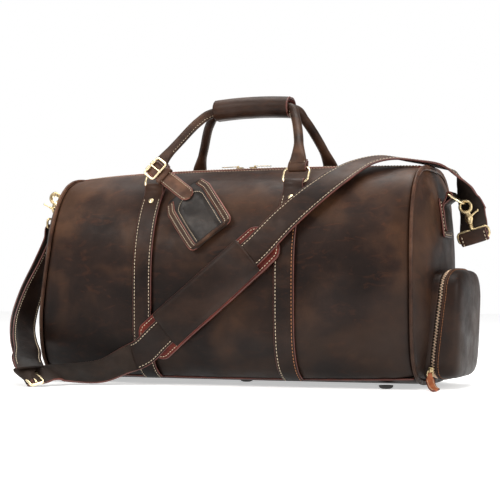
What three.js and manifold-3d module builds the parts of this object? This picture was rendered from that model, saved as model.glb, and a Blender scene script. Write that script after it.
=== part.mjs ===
// A leather weekender bag: two handles, a top zip, a zipped shoe pocket on its right end,
// a luggage tag and a padded shoulder strap clipped to a D-ring at each end.
// Millimetres. +X runs along the bag to the shoe pocket, -Y is the front, +Z is up.
// The origin is on the floor, under the middle of the bag.
import * as THREE from "three";
import { mergeVertices } from "three/addons/utils/BufferGeometryUtils.js";
import Module from "manifold-3d";

const wasm = await Module();
wasm.setup();

// ---------------------------------------------------------------- driving dimensions
const FOOT_HEIGHT = 5;
const FOOT_DIAMETER = 19;
const HALF_LENGTH = 265; // middle of the bag to the piping plane at each end
const HALF_DEPTH = 124; // at the widest, half way along
const HALF_DEPTH_END = 109.5; // at the piping
const WIDEST_HEIGHT = 140;
const TOP_HEIGHT = 295;
const TOP_DROP = 6; // how much lower the top is at the piping
const UPPER_POWER = 2.1; // superellipse power of the upper half, half way along
const UPPER_POWER_GAIN = 1.2; // added to it at the piping
const LOWER_POWER = 4.5;
const END_BULGE = 21; // how far an end panel domes out past the piping
const END_BULGE_POWER = 2.5;
const LEATHER = 3;
const SEAM_GAP = 0.4;
const PIPING_RADIUS = 3;
const END_PANEL_INSET = 5.7; // the piping stands between the end panel and the skin
const BASE_HALF_WIDTH = 82; // the base panel meets the front and back panels here
const FACING_OUTER = 27; // the zip facing runs between these distances from the middle
const FACING_INNER = 8;
const ZIP_TAPE_HALF = 14;
const ZIP_HALF_LENGTH = 248;

const STATION = 101; // the handle straps' distance from the middle of the bag
const STRAP_WIDTH = 28;
const STRAP_LEATHER = 2.4;
const WIRE_RADIUS = 1.75;
const FOLD_RADIUS = 3.9; // of the middle of leather that is folded round a wire
const RING_WIDTH = 35; // between the middles of the wires
const RING_HEIGHT = 22;
const RING_FOOT = [81, 269]; // distance from the middle plane, height
const RING_HEAD = [70, 288];
const RIVET_RADIUS = 4;
const RIVET_HEIGHT = 246;

const HANDLE_RADIUS = 6.5;
const GRIP_CENTRE = [11, 379]; // along the bag, height
const GRIP_HALF_LENGTH = 55;

const SHOULDER_WIDTH = 38;
const SHOULDER_LEATHER = 3;
const PAD_BASE = { length: 238, width: 58, thickness: 4 };
const PAD_SLEEVE = { length: 156, width: 55, thickness: 5 };

const D_RING_HALF = 17;
const EYE_RADIUS = 7.5;
const LOOP_HALF_WIDTH = 21;

const POCKET = { x: 268, depth: 51, halfWidth: 68, low: 12, high: 154, seam: 25 };

// ---------------------------------------------------------------- colours
const DARK_LEATHER = { color: 0x3b241a, roughness: 0.55, metalness: 0 };
const RED_LEATHER = { color: 0x5a2418, roughness: 0.6, metalness: 0 };
const PALE_GOLD = { color: 0xc9a56a, roughness: 0.3, metalness: 1 };
const ANTIQUE_BRASS = { color: 0x8a6a3c, roughness: 0.38, metalness: 1 };
const BLACK_LINING = { color: 0x1a1614, roughness: 0.9, metalness: 0 };
const ZIP_METAL = { color: 0xb98a62, roughness: 0.35, metalness: 1 };
const BOARD = { color: 0x4a4038, roughness: 0.9, metalness: 0 };

const bag = new THREE.Group();
const v3 = (x, y, z) => new THREE.Vector3(x, y, z);

function add(name, geometry, look) {
  const mesh = new THREE.Mesh(geometry, new THREE.MeshStandardMaterial(look));
  mesh.name = name;
  bag.add(mesh);
  return mesh;
}

// ---------------------------------------------------------------- solids from points
function signedVolume(positions, index) {
  let sum = 0;
  const corner = (k) => new THREE.Vector3().fromArray(positions, 3 * k);
  for (let i = 0; i < index.length; i += 3) {
    const [a, b, c] = [corner(index[i]), corner(index[i + 1]), corner(index[i + 2])];
    sum += a.dot(b.cross(c)) / 6;
  }
  return sum;
}

// Turns points and triangles into a geometry whose faces point outwards.
function closedGeometry(points, index) {
  const positions = points.flatMap((p) => [p.x, p.y, p.z]);
  if (signedVolume(positions, index) < 0) {
    for (let i = 0; i < index.length; i += 3) {
      [index[i + 1], index[i + 2]] = [index[i + 2], index[i + 1]];
    }
  }
  const geometry = new THREE.BufferGeometry();
  geometry.setAttribute("position", new THREE.Float32BufferAttribute(positions, 3));
  geometry.setIndex(index);
  return geometry;
}

function quad(index, a, b, c, d) {
  index.push(a, b, c, a, c, d);
}

// A sheet of leather between two offsets of one surface. pointAt(u, v, offset), u and v from 0 to 1.
function sheet(pointAt, columns, rows, inner, outer) {
  const points = [];
  const index = [];
  for (const offset of [outer, inner]) {
    for (let i = 0; i <= columns; i++) {
      for (let j = 0; j <= rows; j++) points.push(pointAt(i / columns, j / rows, offset));
    }
  }
  const layer = (columns + 1) * (rows + 1);
  const at = (k, i, j) => k * layer + i * (rows + 1) + j;
  for (let i = 0; i < columns; i++) {
    for (let j = 0; j < rows; j++) {
      quad(index, at(0, i, j), at(0, i + 1, j), at(0, i + 1, j + 1), at(0, i, j + 1));
      quad(index, at(1, i, j), at(1, i, j + 1), at(1, i + 1, j + 1), at(1, i + 1, j));
    }
  }
  for (let i = 0; i < columns; i++) {
    quad(index, at(0, i, 0), at(1, i, 0), at(1, i + 1, 0), at(0, i + 1, 0));
    quad(index, at(0, i, rows), at(0, i + 1, rows), at(1, i + 1, rows), at(1, i, rows));
  }
  for (let j = 0; j < rows; j++) {
    quad(index, at(0, 0, j), at(0, 0, j + 1), at(1, 0, j + 1), at(1, 0, j));
    quad(index, at(0, columns, j), at(1, columns, j), at(1, columns, j + 1), at(0, columns, j + 1));
  }
  return closedGeometry(points, index);
}

// A domed sheet round a centre. pointAt(radius, turn, offset), both from 0 to 1.
function dome(pointAt, rings, around, inner, outer) {
  const points = [];
  const index = [];
  const layer = 1 + rings * around;
  const at = (k, r, j) => k * layer + (r === 0 ? 0 : 1 + (r - 1) * around + (j % around));
  for (const offset of [outer, inner]) {
    points.push(pointAt(0, 0, offset));
    for (let r = 1; r <= rings; r++) {
      for (let j = 0; j < around; j++) points.push(pointAt(r / rings, j / around, offset));
    }
  }
  for (let j = 0; j < around; j++) {
    index.push(at(0, 0, 0), at(0, 1, j), at(0, 1, j + 1));
    index.push(at(1, 0, 0), at(1, 1, j + 1), at(1, 1, j));
    for (let r = 1; r < rings; r++) {
      quad(index, at(0, r, j), at(0, r + 1, j), at(0, r + 1, j + 1), at(0, r, j + 1));
      quad(index, at(1, r, j), at(1, r, j + 1), at(1, r + 1, j + 1), at(1, r + 1, j));
    }
    quad(index, at(0, rings, j), at(1, rings, j), at(1, rings, j + 1), at(0, rings, j + 1));
  }
  return closedGeometry(points, index);
}

// Joins rings of points, each with the same count, into a closed solid with flat ends.
function loft(rings) {
  const around = rings[0].length;
  const points = rings.flat();
  const index = [];
  const last = rings.length - 1;
  for (let r = 0; r < last; r++) {
    for (let j = 0; j < around; j++) {
      const next = (j + 1) % around;
      const [a, b] = [r * around, (r + 1) * around];
      quad(index, a + j, b + j, b + next, a + next);
    }
  }
  for (let j = 1; j < around - 1; j++) {
    index.push(0, j, j + 1);
    index.push(last * around, last * around + j + 1, last * around + j);
  }
  return closedGeometry(points, index);
}

// A flat strap along a route of { at, up } points: up is the direction that the outer face looks in.
function ribbon(route, width, thickness, steps) {
  const curve = new THREE.CatmullRomCurve3(route.map((p) => p.at));
  const ups = new THREE.CatmullRomCurve3(route.map((p) => p.up));
  const rings = [];
  for (let s = 0; s <= steps; s++) {
    const t = s / steps;
    const at = curve.getPoint(t);
    const tangent = curve.getTangent(t);
    const side = tangent.clone().cross(ups.getPoint(t)).normalize();
    const up = side.clone().cross(tangent).normalize();
    const corner = (a, b) =>
      at.clone().addScaledVector(side, (a * width) / 2).addScaledVector(up, (b * thickness) / 2);
    rings.push([corner(-1, -1), corner(1, -1), corner(1, 1), corner(-1, 1)]);
  }
  return loft(rings);
}

// A closed loop of round wire through the points.
function wireLoop(points, radius, steps, sides = 6) {
  const curve = new THREE.CatmullRomCurve3(points, true, "centripetal");
  return new THREE.TubeGeometry(curve, steps, radius, sides, true);
}

// A rectangle with rounded corners, centred on a point, in the plane of two unit directions.
function roundedRectangle(centre, across, along, halfAcross, halfAlong, corner) {
  const points = [];
  const signs = [[1, -1], [1, 1], [-1, 1], [-1, -1]];
  signs.forEach(([a, b], k) => {
    for (const turn of [0, 0.5, 1]) {
      const angle = ((k - 1 + turn) * Math.PI) / 2;
      const dx = a * (halfAcross - corner) + corner * Math.cos(angle);
      const dy = b * (halfAlong - corner) + corner * Math.sin(angle);
      points.push(centre.clone().addScaledVector(across, dx).addScaledVector(along, dy));
    }
  });
  return points;
}

function toSolid(geometry) {
  const bare = geometry.clone();
  bare.deleteAttribute("normal");
  bare.deleteAttribute("uv");
  const merged = mergeVertices(bare, 1e-3);
  return new wasm.Manifold(
    new wasm.Mesh({
      numProp: 3,
      vertProperties: merged.attributes.position.array,
      triVerts: new Uint32Array(merged.index.array),
    }),
  );
}

function fromSolid(solid) {
  const mesh = solid.getMesh();
  const geometry = new THREE.BufferGeometry();
  geometry.setAttribute("position", new THREE.BufferAttribute(mesh.vertProperties, 3));
  geometry.setIndex(new THREE.BufferAttribute(mesh.triVerts, 1));
  return geometry;
}

function join(...geometries) {
  return fromSolid(geometries.map(toSolid).reduce((a, b) => a.add(b)));
}

function cut(geometry, ...tools) {
  return fromSolid(tools.map(toSolid).reduce((a, b) => a.subtract(b), toSolid(geometry)));
}

// ---------------------------------------------------------------- the bag's skin
const halfDepthAt = (x) =>
  HALF_DEPTH_END + (HALF_DEPTH - HALF_DEPTH_END) * (1 - (x / HALF_LENGTH) ** 2);
const upperHeightAt = (x) => TOP_HEIGHT - WIDEST_HEIGHT - TOP_DROP * (x / HALF_LENGTH) ** 2;
const LOWER_HEIGHT = WIDEST_HEIGHT - FOOT_HEIGHT;

function sectionAt(x, angle) {
  const upper = angle >= 0;
  return {
    depth: halfDepthAt(x),
    height: upper ? upperHeightAt(x) : LOWER_HEIGHT,
    power: upper ? UPPER_POWER + UPPER_POWER_GAIN * Math.abs(x / HALF_LENGTH) ** 3 : LOWER_POWER,
  };
}

// A point of the skin: angle 0 is the widest line, +90 degrees the top and -90 the bottom.
function skin(side, x, angle, offset = 0) {
  const { depth, height, power } = sectionAt(x, angle);
  const across = Math.max(Math.cos(angle), 0);
  const rise = Math.abs(Math.sin(angle));
  const reach = ((across / depth) ** power + (rise / height) ** power) ** (-1 / power);
  const [y, z] = [reach * across, reach * rise];
  const normal = new THREE.Vector2(
    (y / depth) ** (power - 1) / depth,
    (z / height) ** (power - 1) / height,
  ).normalize();
  const sign = Math.sign(angle) || 1;
  return v3(
    x,
    side * (y + normal.x * offset),
    WIDEST_HEIGHT + sign * (z + normal.y * offset),
  );
}

function skinNormal(side, x, angle) {
  return skin(side, x, angle, 1).sub(skin(side, x, angle, 0)).normalize();
}

// The angle at which the skin is a given distance from the middle plane.
function angleAtDepth(x, y, sign) {
  const { depth, height, power } = sectionAt(x, sign);
  const z = height * (1 - (y / depth) ** power) ** (1 / power);
  return sign * Math.atan2(z, y);
}

// The angle at which the skin is at a given height.
function angleAtHeight(x, level) {
  const rise = level - WIDEST_HEIGHT;
  const { depth, height, power } = sectionAt(x, rise);
  const y = depth * (1 - (Math.abs(rise) / height) ** power) ** (1 / power);
  return Math.atan2(rise, y);
}

const SEAM_X = HALF_LENGTH - PIPING_RADIUS - SEAM_GAP;

function mainPanel(side) {
  const pointAt = (u, v, offset) => {
    const x = SEAM_X * (2 * u - 1);
    const low = angleAtDepth(x, BASE_HALF_WIDTH + SEAM_GAP, -1);
    const high = angleAtDepth(x, FACING_OUTER + SEAM_GAP, 1);
    return skin(side, x, low + (high - low) * v, offset);
  };
  return sheet(pointAt, 10, 14, -LEATHER, 0);
}

function basePanel() {
  const pointAt = (u, v, offset) => {
    const x = SEAM_X * (2 * u - 1);
    const low = angleAtDepth(x, BASE_HALF_WIDTH - SEAM_GAP, -1);
    const y = 2 * v - 1;
    const angle = -Math.PI / 2 + (low + Math.PI / 2) * Math.abs(y);
    return skin(y < 0 ? -1 : 1, x, angle, offset);
  };
  return sheet(pointAt, 10, 8, -LEATHER, 0);
}

function zipFacing(side) {
  const pointAt = (u, v, offset) => {
    const x = SEAM_X * (2 * u - 1);
    const y = FACING_OUTER - SEAM_GAP + (FACING_INNER + SEAM_GAP - FACING_OUTER) * v;
    return skin(side, x, angleAtDepth(x, y, 1), offset);
  };
  return sheet(pointAt, 8, 2, -2, 0.6);
}

// The tape lies under both facings and its closed teeth stand up between them.
function mainZipChain() {
  const pointAt = (u, v, offset) => {
    const x = ZIP_HALF_LENGTH * (2 * u - 1);
    const profile = [-ZIP_TAPE_HALF, -3, -3, 3, 3, ZIP_TAPE_HALF];
    const y = profile[Math.round(v * 5)];
    const raised = v > 0.3 && v < 0.7 ? 3 : 0;
    const base = skin(1, x, angleAtDepth(x, Math.abs(y), 1), 0);
    return v3(x, y, base.z - 2.6 + offset + (offset > 0 ? raised : 0));
  };
  return sheet(pointAt, 8, 5, -1, 0.01);
}

// Distance that an end panel stands out, at a fraction of the way from its middle to its edge.
const endPanelX = (fraction) => HALF_LENGTH + END_BULGE * (1 - fraction ** END_BULGE_POWER);

function endPanelPoint(end, fraction, turn, offset) {
  const angle = Math.PI * (2 * turn - 0.5);
  const side = turn < 0.5 ? 1 : -1;
  const folded = turn < 0.5 ? angle : Math.PI - angle;
  const edge = skin(side, HALF_LENGTH, folded, -END_PANEL_INSET);
  const x = endPanelX(fraction) + offset;
  return v3(end * x, edge.y * fraction, WIDEST_HEIGHT + (edge.z - WIDEST_HEIGHT) * fraction);
}

function endPanel(end) {
  return dome((r, turn, offset) => endPanelPoint(end, r, turn, offset), 4, 40, -LEATHER, 0);
}

// A point on an end panel's outer face, from its place across and up.
function onEndPanel(end, y, z, offset) {
  const rise = z - WIDEST_HEIGHT;
  const angle = Math.atan2(rise, Math.abs(y));
  const edge = skin(1, HALF_LENGTH, angle, -END_PANEL_INSET);
  const reach = Math.hypot(edge.y, edge.z - WIDEST_HEIGHT);
  const fraction = Math.min(1, Math.hypot(y, rise) / reach);
  return v3(end * (endPanelX(fraction) + offset), y, z);
}

function piping(end) {
  const points = [];
  const count = 36;
  for (let k = 0; k < count; k++) {
    const turn = k / count;
    const angle = Math.PI * (2 * turn - 0.5);
    const side = turn < 0.5 ? 1 : -1;
    points.push(skin(side, end * HALF_LENGTH, turn < 0.5 ? angle : Math.PI - angle, -1.5));
  }
  return wireLoop(points, PIPING_RADIUS, 44, 5);
}

// ---------------------------------------------------------------- inside the bag
function baseBoard() {
  const board = new THREE.BoxGeometry(2 * SEAM_X - 16, 130, 2.5);
  board.translate(0, 0, FOOT_HEIGHT + LEATHER + 5.5);
  return board;
}

// An open-topped tub of cloth that stands on the base board.
function lining() {
  const floor = FOOT_HEIGHT + LEATHER + 7.2;
  const brim = 262;
  const count = 16;
  const tub = (inset, halfX, low, high) => {
    const rings = [];
    for (let i = 0; i <= 6; i++) {
      const x = halfX * (i / 3 - 1);
      const top = angleAtHeight(x, brim);
      const lip = angleAtHeight(x, high);
      const ring = [skin(-1, x, lip, -inset)];
      for (let j = 0; j <= count; j++) {
        const side = j < count / 2 ? -1 : 1;
        const angle = -Math.PI / 2 + (top + Math.PI / 2) * Math.abs(1 - (2 * j) / count);
        ring.push(skin(side, x, angle, -inset));
      }
      ring.push(skin(1, x, lip, -inset));
      rings.push(ring);
    }
    const below = new THREE.BoxGeometry(3 * halfX, 3 * HALF_DEPTH, 60);
    below.translate(0, 0, low - 30);
    return cut(loft(rings), below);
  };
  const outer = tub(LEATHER + 2.8, SEAM_X - 8, floor, brim + 2);
  const inner = tub(LEATHER + 4, SEAM_X - 9.2, floor + 1.2, brim + 12);
  return cut(outer, inner);
}

// ---------------------------------------------------------------- handle straps, rings and rivets
function handleStrap(side, end) {
  const strap = (u, v, offset) => {
    const x = end * STATION + STRAP_WIDTH * (u - 0.5);
    const low = angleAtDepth(x, BASE_HALF_WIDTH + 3, -1);
    const high = angleAtHeight(x, 258);
    return skin(side, x, low + (high - low) * v, offset);
  };
  const x = end * STATION;
  const top = skin(side, x, angleAtHeight(x, 256), 2.1);
  const bar = v3(x, side * RING_FOOT[0], RING_FOOT[1]);
  const lean = Math.atan2(side * (RING_HEAD[0] - RING_FOOT[0]), RING_HEAD[1] - RING_FOOT[1]);
  const along = v3(0, Math.sin(lean), Math.cos(lean));
  const outward = v3(0, side * Math.cos(lean), -side * Math.sin(lean));
  const at = (a, b) => bar.clone().addScaledVector(along, a).addScaledVector(outward, b);
  const route = [
    top,
    at(-4, -FOLD_RADIUS),
    at(2, -FOLD_RADIUS * 0.8),
    at(FOLD_RADIUS, 0),
    at(2, FOLD_RADIUS * 0.8),
    at(-4, FOLD_RADIUS),
    skin(side, x, angleAtHeight(x, 252), 4.8),
    skin(side, x, angleAtHeight(x, 238), 4.4),
  ];
  const fold = foldedLeather(route, STRAP_WIDTH, STRAP_LEATHER, 14);
  return join(sheet(strap, 2, 14, 0.9, 0.9 + STRAP_LEATHER), fold);
}

// Leather that bends in a plane across X: a ribbon whose outer face stays square to X.
function foldedLeather(points, width, thickness, steps) {
  const curve = new THREE.CatmullRomCurve3(points);
  const rings = [];
  for (let s = 0; s <= steps; s++) {
    const at = curve.getPoint(s / steps);
    const tangent = curve.getTangent(s / steps);
    const up = tangent.clone().cross(v3(1, 0, 0)).normalize();
    const corner = (a, b) =>
      at.clone().add(v3((a * width) / 2, 0, 0)).addScaledVector(up, (b * thickness) / 2);
    rings.push([corner(-1, -1), corner(1, -1), corner(1, 1), corner(-1, 1)]);
  }
  return loft(rings);
}

function ringDirection(side) {
  return v3(0, side * (RING_HEAD[0] - RING_FOOT[0]), RING_HEAD[1] - RING_FOOT[1]).normalize();
}

function handleRing(side, end) {
  const along = ringDirection(side);
  const foot = v3(end * STATION, side * RING_FOOT[0], RING_FOOT[1]);
  const centre = foot.addScaledVector(along, RING_HEIGHT / 2);
  const outline = roundedRectangle(centre, v3(1, 0, 0), along, RING_WIDTH / 2, RING_HEIGHT / 2, 5);
  return wireLoop(outline, WIRE_RADIUS, 22);
}

function rivet(side, end) {
  const x = end * STATION;
  const angle = angleAtHeight(x, RIVET_HEIGHT);
  const profile = [[0, 0], [RIVET_RADIUS, 0], [RIVET_RADIUS * 0.9, 0.9], [2.2, 1.7], [0, 2]];
  const head = new THREE.LatheGeometry(profile.map(([r, h]) => new THREE.Vector2(r, h)), 10);
  const mesh = new THREE.Mesh(head);
  mesh.quaternion.setFromUnitVectors(v3(0, 1, 0), skinNormal(side, x, angle));
  mesh.position.copy(skin(side, x, angle, 6));
  mesh.updateMatrix();
  return head.applyMatrix4(mesh.matrix);
}

// ---------------------------------------------------------------- handles
function handleRoute(side) {
  const ringTop = v3(0, side * RING_FOOT[0], RING_FOOT[1]).addScaledVector(
    ringDirection(side),
    RING_HEIGHT,
  );
  const [middle, height] = GRIP_CENTRE;
  const right = [
    v3(STATION, ringTop.y, ringTop.z + 5),
    v3(STATION - 1, side * 64, 306),
    v3(STATION - 8, side * 44, 332),
    v3(STATION - 21, side * 20, 362),
    v3(middle + GRIP_HALF_LENGTH, side * 8.6, height - 1),
  ];
  const left = [
    v3(-STATION, ringTop.y, ringTop.z + 5),
    v3(-STATION + 2, side * 64, 306),
    v3(-STATION + 17, side * 44, 332),
    v3(-STATION + 36, side * 20, 362),
    v3(middle - GRIP_HALF_LENGTH, side * 8.6, height - 3),
  ];
  return [...left, v3(middle, side * 7.6, height), ...right.reverse()];
}

function handle(side) {
  const route = handleRoute(side);
  const curve = new THREE.CatmullRomCurve3(route);
  const steps = 30;
  const sides = 8;
  const frames = curve.computeFrenetFrames(steps, false);
  const length = curve.getLength();
  const rings = [];
  for (let s = 0; s <= steps; s++) {
    const at = curve.getPointAt(s / steps);
    const tangent = frames.tangents[s];
    const across = v3(1, 0, 0).addScaledVector(tangent, -tangent.x).normalize();
    const sideways = Math.abs(tangent.x) > 0.9 ? frames.normals[s] : across;
    const other = tangent.clone().cross(sideways).normalize();
    const fromEnd = Math.min(s, steps - s) * (length / steps);
    const flat = Math.max(0, 1 - fromEnd / 34) ** 1.4;
    const wide = HANDLE_RADIUS + flat * (STRAP_WIDTH / 2 - 1 - HANDLE_RADIUS);
    const thin = HANDLE_RADIUS - flat * (HANDLE_RADIUS - 3);
    const ring = [];
    for (let j = 0; j < sides; j++) {
      const a = (2 * Math.PI * j) / sides;
      ring.push(
        at
          .clone()
          .addScaledVector(sideways, wide * Math.cos(a))
          .addScaledVector(other, thin * Math.sin(a)),
      );
    }
    rings.push(ring);
  }
  return rings;
}

// Turns each ring so that it starts next to the start of the ring before it.
function aligned(rings) {
  const out = [rings[0]];
  for (const ring of rings.slice(1)) {
    const before = out[out.length - 1];
    const centre = (points) =>
      points.reduce((a, b) => a.add(b), v3(0, 0, 0)).divideScalar(points.length);
    let best = null;
    for (const candidate of [ring, [...ring].reverse()]) {
      for (let k = 0; k < ring.length; k++) {
        const turned = [...candidate.slice(k), ...candidate.slice(0, k)];
        const middle = centre(turned);
        const gap = turned.reduce(
          (sum, p, i) =>
            sum + p.clone().sub(middle).distanceTo(before[i].clone().sub(centre(before))),
          0,
        );
        if (best === null || gap < best.gap) best = { gap, turned };
      }
    }
    out.push(best.turned);
  }
  return out;
}

// The leather at a handle's end is turned round the upper bar of its ring.
function handleFold(side, end) {
  const along = ringDirection(side);
  const bar = v3(end * STATION, side * RING_FOOT[0], RING_FOOT[1]).addScaledVector(along, RING_HEIGHT);
  const outward = v3(0, -along.z, along.y).multiplyScalar(-side);
  const at = (a, b) => bar.clone().addScaledVector(along, a).addScaledVector(outward, b);
  const r = FOLD_RADIUS;
  const route = [
    at(11, -1.6),
    at(5, -r),
    at(-2, -r * 0.85),
    at(-r, 0),
    at(-2, r * 0.85),
    at(5, r),
    at(11, 1.6),
  ];
  return foldedLeather(route, STRAP_WIDTH - 3, 2.2, 12);
}

function wholeHandle(side) {
  return join(loft(aligned(handle(side))), handleFold(side, -1), handleFold(side, 1));
}

// A sleeve sewn to the front handle and closed round both, open along the back.
function gripWrap() {
  const [middle, height] = GRIP_CENTRE;
  const around = 14;
  const gapAngle = 0.5;
  const pointAt = (u, v, offset) => {
    const angle = gapAngle + (2 * Math.PI - 2 * gapAngle) * v;
    const x = middle + 2 * GRIP_HALF_LENGTH * (u - 0.5);
    const arch = -2.5 * (2 * u - 1) ** 2;
    const [wide, tall] = [18.8 + offset, 13.4 + offset];
    return v3(x, wide * Math.cos(angle), height + arch + tall * Math.sin(angle));
  };
  return sheet(pointAt, 6, around, -1.4, 1.4);
}

// ---------------------------------------------------------------- top zip sliders
const ZIP_TOP = TOP_HEIGHT + 0.5;
const SLIDER_X = 10;
const PULL_BAR = [2.8, 7.4]; // from the slider's middle outward, and above the zip

function zipSlider(x, z, direction) {
  const box = new THREE.BoxGeometry(11, 8, 3);
  box.translate(x, 0, z + 3.2);
  const centre = v3(x + direction * PULL_BAR[0], 0, z + PULL_BAR[1] - 2);
  const staple = wireLoop(
    roundedRectangle(centre, v3(0, 1, 0), v3(0, 0, 1), 3, 2, 1),
    0.8,
    12,
    6,
  );
  return join(box, staple);
}

// A flat pull with an eye rolled round the slider's bar.
function zipPull(x, z, direction) {
  const tube = new THREE.CylinderGeometry(1.9, 1.9, 3.2, 12);
  const bore = new THREE.CylinderGeometry(1.1, 1.1, 6, 12);
  const tab = new THREE.Shape();
  tab.moveTo(-3, 1.5);
  tab.lineTo(-4, 20);
  tab.lineTo(-2.6, 24);
  tab.lineTo(2.6, 24);
  tab.lineTo(4, 20);
  tab.lineTo(3, 1.5);
  const plate = new THREE.ExtrudeGeometry(tab, { depth: 1, bevelEnabled: false });
  plate.translate(0, 0, -0.5);
  plate.rotateZ(-Math.PI / 2);
  const pull = cut(join(tube, plate), bore);
  if (direction < 0) pull.rotateZ(Math.PI);
  pull.translate(x + direction * PULL_BAR[0], 0, z + PULL_BAR[1]);
  return pull;
}

// ---------------------------------------------------------------- feet
function foot(x, y) {
  const r = FOOT_DIAMETER / 2;
  const top = FOOT_HEIGHT - SEAM_GAP;
  const profile = [[0, 0], [r * 0.55, 0], [r * 0.85, 1.4], [r, top], [0, top]];
  const dome = new THREE.LatheGeometry(profile.map(([a, b]) => new THREE.Vector2(a, b)), 14);
  dome.rotateX(Math.PI / 2);
  dome.translate(x, y, 0);
  return dome;
}

// ---------------------------------------------------------------- end fittings
// The places of one end's D-ring, hook and strap loop, in the plane across the bag's depth.
const RIGHT_END = {
  end: 1,
  bar: v3(291, 0, 251),
  ringTilt: -0.58, // below level, radians
  hookTilt: 0.28, // out from straight down
  loopAcross: v3(0.961, 0, 0.276),
};
const LEFT_END = {
  end: -1,
  bar: v3(-291, 0, 251),
  ringTilt: 0.86,
  hookTilt: 0.02,
  loopAcross: v3(0, 1, 0),
};
const D_RING_REACH = 21;

function fittings({ end, bar, ringTilt, hookTilt, loopAcross }) {
  const out = v3(end * Math.cos(ringTilt), 0, Math.sin(ringTilt));
  const tip = bar.clone().addScaledVector(out, D_RING_REACH);
  const down = v3(end * Math.sin(hookTilt), 0, -Math.cos(hookTilt));
  const eye = tip.clone().addScaledVector(down, EYE_RADIUS - WIRE_RADIUS * 2 - 0.3);
  const across = loopAcross.clone().addScaledVector(down, -loopAcross.dot(down)).normalize();
  const at = (reach) => eye.clone().addScaledVector(down, reach);
  return { end, bar, out, tip, down, eye, across, at };
}

function sideTab(place) {
  const { end, bar } = place;
  const plate = (u, v, offset) => {
    const z = 196 + 50 * v;
    const half = 22 - 6 * v ** 3;
    return onEndPanel(end, half * (2 * u - 1), z, offset);
  };
  const r = FOLD_RADIUS;
  const x0 = end * bar.x;
  const reach = (z, offset) => {
    const p = onEndPanel(end, 0, z, offset);
    return v3(p.x, 0, p.z);
  };
  const at = (a, b) => v3(end * (x0 + a), 0, bar.z + b);
  const route = [
    reach(244, 1.7),
    at(-r, -3),
    at(-r * 0.75, 2.6),
    at(0, r),
    at(r * 0.75, 2.6),
    at(r, -3),
    reach(232, 4.6),
    reach(206, 4.4),
  ];
  const curve = new THREE.CatmullRomCurve3(route);
  const rings = [];
  const steps = 16;
  for (let s = 0; s <= steps; s++) {
    const p = curve.getPoint(s / steps);
    const normal = curve.getTangent(s / steps).cross(v3(0, 1, 0)).normalize();
    const corner = (a, b) => p.clone().add(v3(0, a * 14.5, 0)).addScaledVector(normal, b * 1.1);
    rings.push([corner(-1, -1), corner(1, -1), corner(1, 1), corner(-1, 1)]);
  }
  return join(sheet(plate, 4, 3, 0.6, 2.8), loft(rings));
}

function dRing({ bar, out }) {
  const at = (a, b) => bar.clone().addScaledVector(out, a).add(v3(0, b, 0));
  const points = [at(0, -D_RING_HALF), at(0, -8), at(0, 8), at(0, D_RING_HALF)];
  const arc = 7;
  for (let k = 1; k < arc; k++) {
    const angle = (Math.PI * k) / arc;
    points.push(at(D_RING_REACH * Math.sin(angle) ** 0.7, D_RING_HALF * Math.cos(angle)));
  }
  return wireLoop(points, WIRE_RADIUS, 26);
}

function circlePoints(centre, a, b, radius, count) {
  const points = [];
  for (let k = 0; k < count; k++) {
    const angle = (2 * Math.PI * k) / count;
    points.push(
      centre
        .clone()
        .addScaledVector(a, radius * Math.cos(angle))
        .addScaledVector(b, radius * Math.sin(angle)),
    );
  }
  return points;
}

function hookClaw({ down, eye, at }) {
  const wide = v3(-down.z, 0, down.x);
  const ring = wireLoop(circlePoints(eye, wide, down, EYE_RADIUS, 10), 1.7, 16);
  const neck = [
    [EYE_RADIUS - 1, 2.6, 2],
    [12, 4.2, 2.4],
    [17, 4.6, 2.6],
    [21, 3.6, 2.6],
    [24.5, 3, 2.6],
  ].map(([reach, a, b]) => ellipseRing(at(reach), wide, v3(0, 1, 0), a, b, 8));
  return join(ring, loft(neck));
}

function ellipseRing(centre, a, b, ra, rb, count) {
  const ring = [];
  for (let k = 0; k < count; k++) {
    const angle = (2 * Math.PI * k) / count;
    ring.push(
      centre
        .clone()
        .addScaledVector(a, ra * Math.cos(angle))
        .addScaledVector(b, rb * Math.sin(angle)),
    );
  }
  return ring;
}

// A thumb lever beside the neck, turning on the rivet.
function hookTrigger({ end, down, at }) {
  const wide = v3(-down.z, 0, down.x).multiplyScalar(end);
  const pivot = at(16);
  const stations = [
    [-0.4, 0, 2.4],
    [5, -1, 1.6],
    [12, -4.5, 1.3],
    [15.5, -6, 1.6],
  ];
  const rings = stations.map(([a, b, r]) => {
    const centre = pivot.clone().addScaledVector(wide, a).addScaledVector(down, b);
    centre.y -= 4.6;
    return ellipseRing(centre, down, v3(0, 1, 0), r, 1.1, 6);
  });
  return loft(rings);
}

function swivelLoop({ down, across, at }) {
  const centre = at(38.5);
  const outline = roundedRectangle(centre, across, down, LOOP_HALF_WIDTH, 6.8, 5);
  const post = [25, 28.5, 31.8].map((reach, k) =>
    ellipseRing(at(reach), across, down.clone().cross(across), [1.8, 3.2, 2.4][k], [1.8, 3.2, 2.4][k], 8),
  );
  return join(wireLoop(outline, 1.6, 30), loft(post));
}

// ---------------------------------------------------------------- shoe pocket on the right end
// Outline of the pocket seen from the right: a rounded rectangle with a high round top.
function pocketOutline(inset, count) {
  const { halfWidth, low, high } = POCKET;
  const points = [];
  const middle = (low + high) / 2;
  const halfHeight = (high - low) / 2;
  for (let k = 0; k < count; k++) {
    const angle = (2 * Math.PI * k) / count + Math.PI / count;
    const [c, s] = [Math.cos(angle), Math.sin(angle)];
    const power = s < 0 ? 6 : 4.2;
    const reach =
      (Math.abs(c / (halfWidth - inset)) ** power + Math.abs(s / (halfHeight - inset)) ** power) **
      (-1 / power);
    points.push([reach * c, middle + reach * s]);
  }
  return points;
}

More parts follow.
